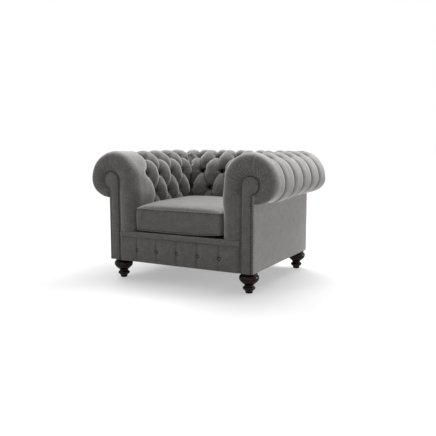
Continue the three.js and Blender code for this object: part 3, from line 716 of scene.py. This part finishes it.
def back_pad(section):
    def locate(row, share):
        side = 1 if share >= 0.5 else -1
        run, drop, rest = corner_run(0.0, row.end_x, row.radius, abs(share - 0.5) * 2)
        depth, fold_shade = row.drawn(run / row.spread + 0.5, rest, False, 3)
        point = row.pressed(depth)
        place = Vector((side * run, row.face_y + point.x - drop, point.y))
        soft = wrinkle(place, SOFT_SIZE, BACK_SEED) * SOFT_DEPTH * ease(rest, 0, SOFT_RUN)
        return place + row.back_out * soft, fold_shade

    return pad_mesh(section, BACK_COLUMNS, locate)


# A button above the bottom of its hole, and the last one short of a mitre
BUTTON_SEAT = 5 * MM
CORNER_CLEAR = 40 * MM
MITRE_BUTTON_OUT = 4 * MM
MOST_COLUMNS = 6


def twins(place, out, group):
    """A button and, unless it is in the middle, its mirror image."""
    found = [(place, out, group)]
    if place.x > 0:
        found.append((place * MIRROR, out * MIRROR, group))
    return found


def button_places(section):
    """Every button of the padding as (place, direction out, arm or back)."""
    s = sizes()
    found = []
    for k in range(s.arm_rows):
        row = Row(section, section.rows[k])
        depth = s.tuft_depth - BUTTON_SEAT
        if k == 0:
            depth = 0.6 * s.pleat_depth + TOP_PULL * (s.tuft_depth - s.pleat_depth)
        base = row.pressed(depth)
        # Every second row is set by half a column
        half = (k % 2) / 2
        for j in range(MOST_COLUMNS):
            y = FRONT_Y + s.first_column + row.shift + (j + half) * s.column_pitch
            if y < row.end_y - CORNER_CLEAR:
                found += twins(Vector((SEAT_HALF + base.x, y, base.y)), row.arm_out, "arm")
            x = (j + 0.5 - half) * row.spread
            if x < row.end_x - CORNER_CLEAR:
                found += twins(Vector((x, row.face_y + base.x, base.y)), row.back_out, "back")
        if k > 1:
            out = Vector((row.out.x, row.out.x, row.out.y * 1.4)).normalized()
            place = Vector((row.end_x, row.end_y, row.mitre.y)) + out * MITRE_BUTTON_OUT
            found += twins(place, out, "back")
    return found


def add_button(bm, place, out, radius):
    """A covered button: a low dome with a rolled edge."""
    turn = out.to_track_quat("Z", "Y").to_matrix().to_4x4()
    matrix = Matrix.Translation(place) @ turn @ Matrix.Diagonal((1, 1, 0.5, 1))
    bmesh.ops.create_uvsphere(bm, u_segments=16, v_segments=10, radius=radius, matrix=matrix)


class CHESTERFIELD_OT_padding(bpy.types.Operator):
    """Model the tufted arms and back with their buttons"""
    bl_idname = "chesterfield.padding"
    bl_label = "Tufted padding"

    def execute(self, context):
        section = Section()
        right = arm_pad(section)
        left = right.copy()
        mirror_in_x(left)
        for name, bm in (("right_arm", right), ("left_arm", left), ("back", back_pad(section))):
            piece = add_object(f"{name}_upholstery", bm)
            wall = piece.modifiers.new("wall", "SOLIDIFY")
            wall.thickness = PAD_WALL
            wall.offset = -1
            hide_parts(f"{name}_pad")
        groups = {"arm": bmesh.new(), "back": bmesh.new()}
        for place, out, group in button_places(section):
            add_button(groups[group], place, out, sizes().button_radius)
        for group, bm in groups.items():
            add_object(f"{group}_buttons", bm)
        return {"FINISHED"}


# The facing's pad, its flat rim and its nails
FACING_DOME = 8 * MM
FACING_RIM = FACING_Y + 4 * MM
RIM_STEP = 5 * MM
RIM_ROUND = 2 * MM
FOOT_FADE = 14 * MM
NAIL_SUNK = 0.3 * MM
NAIL_FOOT = 1 * MM
# The cover laps over the end of the outside panel, and the nails keep clear of that
FACING_LAP = 5 * MM
NAIL_LAP = -2 * MM
# The cord round the facing's head
CORD_RADIUS = 2.3 * MM
CORD_OUT = 1.5 * MM
CORD_FOOT = 2 * MM


def scroll_outline(inset, bottom, lap):
    """The arm front's outline, up the inner edge, round the head and down the stem."""
    radius = SCROLL_RADIUS - inset
    outer = sizes().board_outer + lap - inset
    end = -acos((outer - SCROLL_CENTRE) / radius)
    head = arc((SCROLL_CENTRE, SCROLL_HEIGHT), (radius, radius), pi, end, steps=40)
    return [Vector((SCROLL_INSET + inset, bottom)), *head, Vector((outer, bottom))]


def facing_span(height, inset, lap):
    """The left and right edges of the facing's outline, drawn in by inset, at a height."""
    off = height - SCROLL_HEIGHT
    radius = SCROLL_RADIUS - inset
    chord = sqrt(max(0.0, radius ** 2 - off * off))
    left = SCROLL_CENTRE - (chord if off > 0 else radius)
    return left, max(SCROLL_CENTRE + chord, sizes().board_outer + lap - inset if off < 0 else 0.0)


def facing_face(reach, height):
    """How far forward the facing stands: flat outside its nails, and a soft pad inside them."""
    inset = sizes().nail_edge
    left, right = facing_span(height, inset, NAIL_LAP)
    if height >= SCROLL_HEIGHT:
        off = hypot(reach - SCROLL_CENTRE, height - SCROLL_HEIGHT) / (SCROLL_RADIUS - inset)
        full = 1 - off * off
    else:
        across = (reach - left) / (right - left)
        full = 4 * across * (1 - across)
    full *= ease(height - FACING_LOW.z, 0, FOOT_FADE)
    left, right = facing_span(height, 0.0, FACING_LAP)
    edge = min(reach - left, right - reach, SCROLL_HEIGHT + SCROLL_RADIUS - height)
    rim = RIM_STEP * ease(edge, 0, RIM_ROUND) ** 0.5
    return FACING_RIM - rim - FACING_DOME * max(0.0, full) ** 0.5


def facing_panel():
    """A padded P-shaped panel that domes from its rim to its middle."""
    bm = sheet(24, 100)[0]
    for vert in bm.verts:
        across = (1 - cos(pi * (vert.co.x + 0.5))) / 2
        up = vert.co.y * 2
        height = mix(SCROLL_HEIGHT, FACING_LOW.z, -up)
        if up > 0:
            # The last row stays 2 degrees short of the top, where the outline has no width
            height = SCROLL_HEIGHT + (SCROLL_RADIUS - FIT) * sin(radians(88) * up)
        left, right = facing_span(height, 0.0, FACING_LAP)
        reach = mix(left + FIT, right - FIT, across)
        vert.co = Vector((SEAT_HALF + reach, facing_face(reach, height), height))
    close_back(bm, FACING_HIGH.y)
    return bm


def nail_heads():
    """A row of domed nails along the facing's edge."""
    s = sizes()
    line = Line(scroll_outline(s.nail_edge, FACING_LOW.z + s.nail_radius + NAIL_FOOT, NAIL_LAP))
    count = int(line.length // s.nail_pitch)
    bm = bmesh.new()
    for k in range(count + 1):
        point = line.at(line.length * k / count)
        place = Matrix.Translation((SEAT_HALF + point.x, facing_face(*point) - NAIL_SUNK, point.y))
        dome = place @ Matrix.Rotation(pi / 2, 4, "X") @ Matrix.Diagonal((1, 1, 0.72, 1))
        bmesh.ops.create_uvsphere(bm, u_segments=8, v_segments=4, radius=s.nail_radius, matrix=dome)
    return bm


class CHESTERFIELD_OT_arm_fronts(bpy.types.Operator):
    """Model the facing panels with their cords and rows of nails"""
    bl_idname = "chesterfield.arm_fronts"
    bl_label = "Arm fronts"

    def execute(self, context):
        add_pair("facing_cover", "facing_panel", facing_panel)
        add_pair("nail_heads", "nail_trim", nail_heads, slot="antique_brass")
        edge = scroll_outline(-CORD_OUT, FACING_LOW.z + CORD_FOOT, FACING_LAP)
        for side, sign in (("right", 1), ("left", -1)):
            points = [Vector((sign * (SEAT_HALF + p.x), FACING_RIM, p.y)) for p in edge[1:-1]]
            piping(f"{side}_facing_cord", points, CORD_RADIUS, CHAIR, closed=False)
        return {"FINISHED"}


def piping(name, points, radius, body, closed=True):
    """A cord in a velvet sleeve along a line of points."""
    curve = bpy.data.curves.new(name, "CURVE")
    curve.dimensions = "3D"
    spline = curve.splines.new("POLY")
    spline.points.add(len(points) - 1)
    for target, point in zip(spline.points, points):
        target.co = (*point, 1.0)
    spline.use_cyclic_u = closed
    curve.bevel_depth = radius
    curve.bevel_resolution = 3
    curve.use_fill_caps = not closed
    helper = link(name + "_path", curve)
    graph = bpy.context.evaluated_depsgraph_get()
    mesh = bpy.data.meshes.new_from_object(helper.evaluated_get(graph))
    bm = bmesh.new()
    bm.from_mesh(mesh)
    bpy.data.objects.remove(helper)
    return add_object(name, bm, body=body)


# Fineness of the cushion's cover, filling and piping, and the filling's share of the cover
CUSHION_CUTS = 56
FOAM_CUTS = 20
PIPING_STEPS = 60
FOAM_SHARE = 0.955
# How the cushion sits, how far its sides draw in, and how its boxing swells
CUSHION_FIT = 1.5 * MM
CUSHION_FORWARD = 3 * MM
CUSHION_CORNER = 9 * MM
CUSHION_DRAW = 5 * MM
BOXING_PUFF = 3 * MM
# Its lower seam above the deck, and how much more at the corners
SEAM_LIFT = 10 * MM
LEFT_LIFT = 4 * MM
RIGHT_LIFT = 14 * MM
# Painted shade beside the piping, and creases at the boxing's corners
SEAM_SHADE = (4 * MM, 3 * MM)
CRIMP_DEPTH = 2.4 * MM
CRIMP_SIZE = Vector((13, 13, 70)) * MM


def cushion_place(u, v, w):
    """A point of the boxed cushion from -1 to 1 across, front to back and bottom to top."""
    s = sizes()
    half_x = SEAT_HIGH.x - CUSHION_FIT
    half_y = (SEAT_HIGH.y - SEAT_LOW.y) / 2 + CUSHION_FIT
    middle_y = (SEAT_HIGH.y + SEAT_LOW.y) / 2 - CUSHION_FORWARD
    seam_top = s.lean_from
    # Its front edge has lifted off the deck, most of all at the right
    seam_low = SEAT_LOW.z + SEAM_LIFT + (RIGHT_LIFT if u > 0 else LEFT_LIFT) * abs(u * v) ** 3
    x = u * (half_x - CUSHION_DRAW * (1 - v * v) * abs(u))
    y = v * (half_y - CUSHION_DRAW * (1 - u * u) * abs(v))
    straight = Vector((half_x - CUSHION_CORNER, half_y - CUSHION_CORNER))
    corner = Vector((max(0.0, abs(x) - straight.x), max(0.0, abs(y) - straight.y)))
    if corner.length > CUSHION_CORNER:
        corner = corner.normalized() * CUSHION_CORNER
        x = copysign(straight.x + corner.x, x)
        y = copysign(straight.y + corner.y, y)
    if w >= 1:
        dome = max(0.0, (1 - u ** 4) * (1 - v ** 4)) ** 0.5
        z = seam_top + s.crown * dome
    elif w <= -1:
        inward = min(1.0, 9 * min(1 - abs(u), 1 - abs(v)))
        z = seam_low - (seam_low - SEAT_LOW.z) * inward ** 0.6
    else:
        z = mix(seam_low, seam_top, (w + 1) / 2)
        puff = BOXING_PUFF * (1 - w * w)
        x += puff * u * (abs(u) > 0.999)
        y += puff * v * (abs(v) > 0.999)
    return Vector((x, y + middle_y, z))


def boxed(cuts):
    bm = bmesh.new()
    bmesh.ops.create_cube(bm, size=2.0)
    bmesh.ops.subdivide_edges(bm, edges=bm.edges[:], cuts=cuts, use_grid_fill=True)
    return bm


class CHESTERFIELD_OT_cushion(bpy.types.Operator):
    """Model the loose seat cushion with its piping"""
    bl_idname = "chesterfield.cushion"
    bl_label = "Seat cushion"

    def execute(self, context):
        bm = boxed(CUSHION_CUTS)
        fold_shade_layer = bm.verts.layers.float.new("fold")
        for vert in bm.verts:
            u, v, w = vert.co
            place = cushion_place(u, v, w)
            # Painted shade: near black on the underside, and a dark line beside each piping on the boxing
            vert[fold_shade_layer] = 0.95 * (w <= -1)
            if abs(w) < 1:
                beside = (1 - abs(w)) * 0.5 * (sizes().lean_from - SEAT_LOW.z)
                vert[fold_shade_layer] = 0.7 * bell(beside - SEAM_SHADE[0], SEAM_SHADE[1])
            swell = wrinkle(place, 70 * MM, 5.0) * 1.6 * MM + wrinkle(place, 28 * MM, 8.0) * 0.6 * MM
            # Short upright creases at the corners of the boxing
            stretched = Vector(a / b for a, b in zip(place, CRIMP_SIZE))
            crimp = wrinkle(stretched, 1, 4.0) * ease(min(abs(u), abs(v)), 0.72, 0.98)
            swell += CRIMP_DEPTH * crimp * (1 - w * w)
            edge = 1 - sorted((abs(u), abs(v), abs(w)))[1]
            vert.co = place + vert.normal * swell * ease(edge, 0, 0.15)
        foam = boxed(FOAM_CUTS)
        middle = (SEAT_LOW + SEAT_HIGH) / 2
        for vert in foam.verts:
            vert.co = middle + (cushion_place(*vert.co) - middle) * FOAM_SHARE
        filling = add_object("seat_cushion_filling", foam, body=CUSHION, slot="foam_filling")
        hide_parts("seat_cushion_core")
        piece = add_object("seat_cushion_velvet", bm, body=CUSHION)
        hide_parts("seat_cushion_cover")
        ring = [2 * k / PIPING_STEPS - 1 for k in range(PIPING_STEPS)]
        around = [(t, -1) for t in ring] + [(1, t) for t in ring]
        around += [(-u, -v) for u, v in around]
        for name, level in (("cushion_top_piping", 1), ("cushion_bottom_piping", -1)):
            points = [cushion_place(u, v, level * 0.999) for u, v in around]
            piping(name, points, sizes().piping_radius, CUSHION)
        return {"FINISHED"}


BORDER_PLEATS = 5
BORDER_PITCH = 135 * MM
BORDER_MIDDLE = (BORDER_LOW.z + BORDER_HIGH.z) / 2 - 4 * MM
# Each pleat: its lap, and its groove with a steep left side
LAP_DEPTH = 2 * MM
LAP_RUN = 22 * MM
LAP_EDGE = 2.5 * MM
GROOVE_DEPTH = 6 * MM
GROOVE_LEFT = 5 * MM
GROOVE_RIGHT = 15 * MM
# Its button, and the button's hole against the tufting's
BUTTON_RIGHT = 2 * MM
BUTTON_SHARE = 0.6
BUTTON_OUT = 7 * MM
HOLE_DEPTH = 9 * MM
HOLE_NARROWER = 2.0
BORDER_ENDS = 16 * MM


def border_sheet():
    """The front border: a padded band folded into upright pleats with a button half way up each."""
    bm, fold_shade_layer = sheet(260, 48)
    half = BORDER_HIGH.x
    bulge = FACING_Y - BORDER_LOW.y
    reach = (BORDER_PLEATS // 2 + 0.5) * BORDER_PITCH
    for vert in bm.verts:
        x = vert.co.x * 2 * half
        up = vert.co.y + 0.5
        z = mix(BORDER_LOW.z, BORDER_HIGH.z, up)
        arch = sin(pi * up)
        swell = (arch * 0.8 + 0.2) ** 0.6
        off = x - round(x / BORDER_PITCH) * BORDER_PITCH
        on = abs(x) < reach
        # Each pleat laps over its left neighbour
        lap = LAP_DEPTH * exp(-abs(off) / LAP_RUN) * tanh(off / LAP_EDGE)
        lap -= GROOVE_DEPTH * exp(-abs(off) / (GROOVE_RIGHT if off > 0 else GROOVE_LEFT))
        hole = dip(hypot(off - BUTTON_RIGHT, z - BORDER_MIDDLE) * HOLE_NARROWER) * on
        soft = wrinkle(Vector((x, 0, z)), 50 * MM, 2.0) * 0.9 * MM * arch
        ends = ease(half - abs(x), 0, BORDER_ENDS) ** 0.5
        out = bulge * swell * ends + lap * on * arch ** 0.5 - HOLE_DEPTH * hole
        vert.co = Vector((x, FACING_Y + 3 * MM * (1 - ends) - out + soft, z))
        # Painted shade in each pleat's groove and in each button's hole
        vert[fold_shade_layer] = max(0.2 * bell(off + 2 * MM, 5 * MM) * on, 0.8 * ease(hole, 0.3, 0.7))
    close_back(bm, BORDER_HIGH.y)
    return bm


LIP_ROUND = 12 * MM
LIP_SHORT = 9 * MM
# Share of the sheet that makes the front, and the painted shade on the top under the cushion: how dark,
# and where it sets in
LIP_FRONT = 0.7
LIP_TOP_SHADE = 0.7
LIP_SHADE = (13 * MM, 20 * MM)


def lip_sheet():
    """The padded lip on the front of the deck, over the border."""
    bm, fold_shade_layer = sheet(160, 30)
    for vert in bm.verts:
        x = mix(LIP_SHORT - LIP_HIGH.x, LIP_HIGH.x, vert.co.x + 0.5)
        up = vert.co.y + 0.5
        z = LIP_HIGH.z
        if up < LIP_FRONT:
            angle = mix(-pi / 2, pi / 2, up / LIP_FRONT)
            y = LIP_LOW.y + LIP_ROUND * (1 - max(0.0, cos(angle)) ** 0.4)
            z = mix(LIP_LOW.z, LIP_HIGH.z, (sin(angle) + 1) / 2)
        else:
            y = mix(LIP_LOW.y + LIP_ROUND, LIP_HIGH.y, (up - LIP_FRONT) / (1 - LIP_FRONT))
        soft = wrinkle(Vector((x, 0, z)), 60 * MM, 4.0) * 0.8 * MM
        vert.co = Vector((x, y + soft * (up < LIP_FRONT), z))
        # Painted shade on the top, where it runs under the cushion
        vert[fold_shade_layer] = LIP_TOP_SHADE * ease(y - LIP_LOW.y, *LIP_SHADE)
    close_back(bm, LIP_HIGH.y)
    return bm


class CHESTERFIELD_OT_seat_front(bpy.types.Operator):
    """Model the front border with its buttons and the padded lip above it"""
    bl_idname = "chesterfield.seat_front"
    bl_label = "Seat front"

    def execute(self, context):
        for name, make in (("front_border", border_sheet), ("seat_lip", lip_sheet)):
            piece = add_object(f"{name}_cover", make())
            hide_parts(name)
        bm = bmesh.new()
        for k in range(BORDER_PLEATS):
            x = (k - BORDER_PLEATS // 2) * BORDER_PITCH + BUTTON_RIGHT
            place = Vector((x, FACING_Y - BUTTON_OUT, BORDER_MIDDLE))
            add_button(bm, place, Vector((0, -1, 0)), sizes().button_radius * BUTTON_SHARE)
        add_object("border_buttons", bm)
        return {"FINISHED"}


PANEL_ROUND = 5 * MM
# The outside arm starts behind the facing's lap
PANEL_START = 6 * MM


def outside_panel(low, high, axis):
    """A covered board with rounded edges on its outer face, which looks along an axis."""
    bm = bmesh.new()
    bmesh.ops.create_cube(bm, size=1.0)
    bmesh.ops.scale(bm, vec=high - low, verts=bm.verts)
    bmesh.ops.translate(bm, vec=(high + low) / 2, verts=bm.verts)
    edges = [edge for edge in bm.edges if all(vert.co[axis] > high[axis] - MM for vert in edge.verts)]
    bmesh.ops.bevel(bm, geom=edges, offset=PANEL_ROUND, offset_type="OFFSET", affect="EDGES", segments=4,
                    profile=0.5, material=-1)
    return bm


class CHESTERFIELD_OT_outside_panels(bpy.types.Operator):
    """Model the flat covered panels outside the arms and back"""
    bl_idname = "chesterfield.outside_panels"
    bl_label = "Outside panels"

    def execute(self, context):
        low = SIDE_LOW + Vector((0, PANEL_START, 0))
        add_pair("outside_cover", "outside_arm", partial(outside_panel, low, SIDE_HIGH, 0), smooth=False)
        bm = outside_panel(REAR_LOW, REAR_HIGH, 1)
        piece = add_object("outside_back_cover", bm, smooth=False)
        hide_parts("outside_back")
        return {"FINISHED"}


FOOT_PROFILE = (
    # Radius and height in millimetres, from the floor to the frame
    (0, 0), (17.5, 0), (20, 2.5), (20.8, 8), (22, 13), (26, 17), (31.5, 21), (34.6, 26), (34.6, 31),
    (31.5, 35.5), (27, 38.5), (24.6, 42), (25.2, 46), (29, 50), (35.5, 55), (43.5, 62), (50.5, 70),
    (54.6, 79), (55.6, 88), (53.4, 96), (48.5, 101.5), (44.5, 104.2), (44.2, 106), (46.8, 108),
    (47, 112), (46, 116.7), (0, 116.7),
)


class CHESTERFIELD_OT_feet(bpy.types.Operator):
    """Turn the four feet"""
    bl_idname = "chesterfield.feet"
    bl_label = "Turned feet"

    def execute(self, context):
        for end in ("front", "rear"):
            for side in ("left", "right"):
                name = f"{end}_{side}_foot"
                low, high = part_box(name)
                middle = (low + high) / 2
                bm = bmesh.new()
                verts = [bm.verts.new((r * MM, 0, z * MM)) for r, z in FOOT_PROFILE]
                edges = [bm.edges.new(pair) for pair in zip(verts, verts[1:])]
                bmesh.ops.spin(bm, geom=verts + edges, axis=(0, 0, 1), cent=(0, 0, 0),
                               angle=2 * pi, steps=48, use_merge=True)
                bmesh.ops.remove_doubles(bm, verts=bm.verts, dist=0.01 * MM)
                bmesh.ops.recalc_face_normals(bm, faces=bm.faces)
                bmesh.ops.translate(bm, verts=bm.verts, vec=(middle.x, middle.y, 0))
                piece = add_object(f"{end}_{side}_turned_foot", bm, slot="dark_mahogany")
                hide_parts(name)
        return {"FINISHED"}


class CHESTERFIELD_OT_frame_finish(bpy.types.Operator):
    """Give the timbers, springs, hardware and linings their finishes"""
    bl_idname = "chesterfield.frame_finish"
    bl_label = "Frame finishes"

    def execute(self, context):
        for part in frame["record"]["subparts"]:
            for slot in frame["nodes"][part["node"]].material_slots:
                slot.material = finish(part["material_slot"])
        return {"FINISHED"}


# The photograph's camera, solved from the base's corners
CAMERA_PLACE = (1.769, -3.3085, 0.837)
CAMERA_AZIMUTH = 27.98
CAMERA_DOWN = 7.58
FOCAL_PIXELS = 600
FRAME_PIXELS = 436
SENSOR = 36.0
FLOOR_HALF = 30.0
WORLD_LIGHT = 0.112
SUNS = (
    # Where the light comes from, its strength, and how wide the lamp looks in degrees
    ("overhead", (0.0, 0.0, 1.0), 0.8, 60),
    ("behind", (0.1, 0.5, 1.0), 1.2, 45),
    ("right", (1.0, 0.62, 0.15), 2.0, 22),
    ("left_behind", (-0.8, 0.6, 0.9), 1.25, 40),
    ("front_left", (-0.7, -1.0, 0.8), 0.22, 3),
)
# A soft box above the back brightens the crest and the rear of the seat
SOFT_BOX_PLACE = (0.15, 0.9, 2.3)
SOFT_BOX_AIM = (0.0, 0.0, 0.5)
SOFT_BOX_POWER = 20
SOFT_BOX_SIZE = 1.1


def add_lamp(name, kind, energy, way, place=(0.0, 0.0, 0.0)):
    """A lamp whose light comes from the direction way."""
    lamp = bpy.data.lights.new(name, kind)
    lamp.energy = energy
    holder = link(name, lamp)
    holder.location = place
    holder.rotation_euler = Vector(way).to_track_quat("Z", "Y").to_euler()
    return lamp


class CHESTERFIELD_OT_stage(bpy.types.Operator):
    """Set up the floor, the light and the camera"""
    bl_idname = "chesterfield.stage"
    bl_label = "Stage"

    def execute(self, context):
        scene = context.scene
        scene.view_settings.view_transform = "Standard"
        camera = bpy.data.cameras.new("camera")
        camera.sensor_width = SENSOR
        camera.lens = SENSOR * FOCAL_PIXELS / FRAME_PIXELS
        holder = link("camera", camera)
        holder.location = CAMERA_PLACE
        holder.rotation_euler = (radians(90 - CAMERA_DOWN), 0, radians(CAMERA_AZIMUTH))
        scene.camera = holder

        bm = bmesh.new()
        bmesh.ops.create_grid(bm, x_segments=1, y_segments=1, size=FLOOR_HALF)
        floor = add_mesh("floor", bm, "studio_floor")

        world = bpy.data.worlds.new("studio")
        world.use_nodes = True
        tree = world.node_tree
        tree.nodes.clear()
        strength = node(tree, "MapRange", {"Value": seen_directly(tree), "To Min": WORLD_LIGHT})
        inputs = {"Color": rgba(shade("#ffffff")), "Strength": strength.outputs[0]}
        light = node(tree, "Background", inputs)
        node(tree, "OutputWorld", {"Surface": light.outputs[0]})
        scene.world = world

        for name, way, strength, width in SUNS:
            add_lamp(name, "SUN", strength, way).angle = radians(width)
        way = Vector(SOFT_BOX_PLACE) - Vector(SOFT_BOX_AIM)
        add_lamp("soft_box", "AREA", SOFT_BOX_POWER, way, SOFT_BOX_PLACE).size = SOFT_BOX_SIZE
        return {"FINISHED"}


class CHESTERFIELD_PT_panel(bpy.types.Panel):
    bl_label = "Chesterfield armchair"
    bl_idname = "CHESTERFIELD_PT_panel"
    bl_space_type = "VIEW_3D"
    bl_region_type = "UI"
    bl_category = "Chair"

    def draw(self, context):
        for group in (sizes(), colours()):
            for name in group.__annotations__:
                self.layout.prop(group, name)
        for step in STEPS:
            self.layout.operator(step.bl_idname)


STEPS = (
    CHESTERFIELD_OT_stage,
    CHESTERFIELD_OT_frame_finish,
    CHESTERFIELD_OT_padding,
    CHESTERFIELD_OT_arm_fronts,
    CHESTERFIELD_OT_cushion,
    CHESTERFIELD_OT_seat_front,
    CHESTERFIELD_OT_outside_panels,
    CHESTERFIELD_OT_feet,
)
CLASSES = (ChesterfieldSizes, ChesterfieldColours, *STEPS, CHESTERFIELD_PT_panel)


def register():
    for cls in CLASSES:
        bpy.utils.register_class(cls)
    bpy.types.Scene.chesterfield_sizes = PointerProperty(type=ChesterfieldSizes)
    bpy.types.Scene.chesterfield_colours = PointerProperty(type=ChesterfieldColours)


def unregister():
    del bpy.types.Scene.chesterfield_colours
    del bpy.types.Scene.chesterfield_sizes
    for cls in reversed(CLASSES):
        bpy.utils.unregister_class(cls)


def main():
    register()
    for step in STEPS:
        group, name = step.bl_idname.split(".")
        getattr(getattr(bpy.ops, group), name)()


if __name__ == "__main__":
    main()
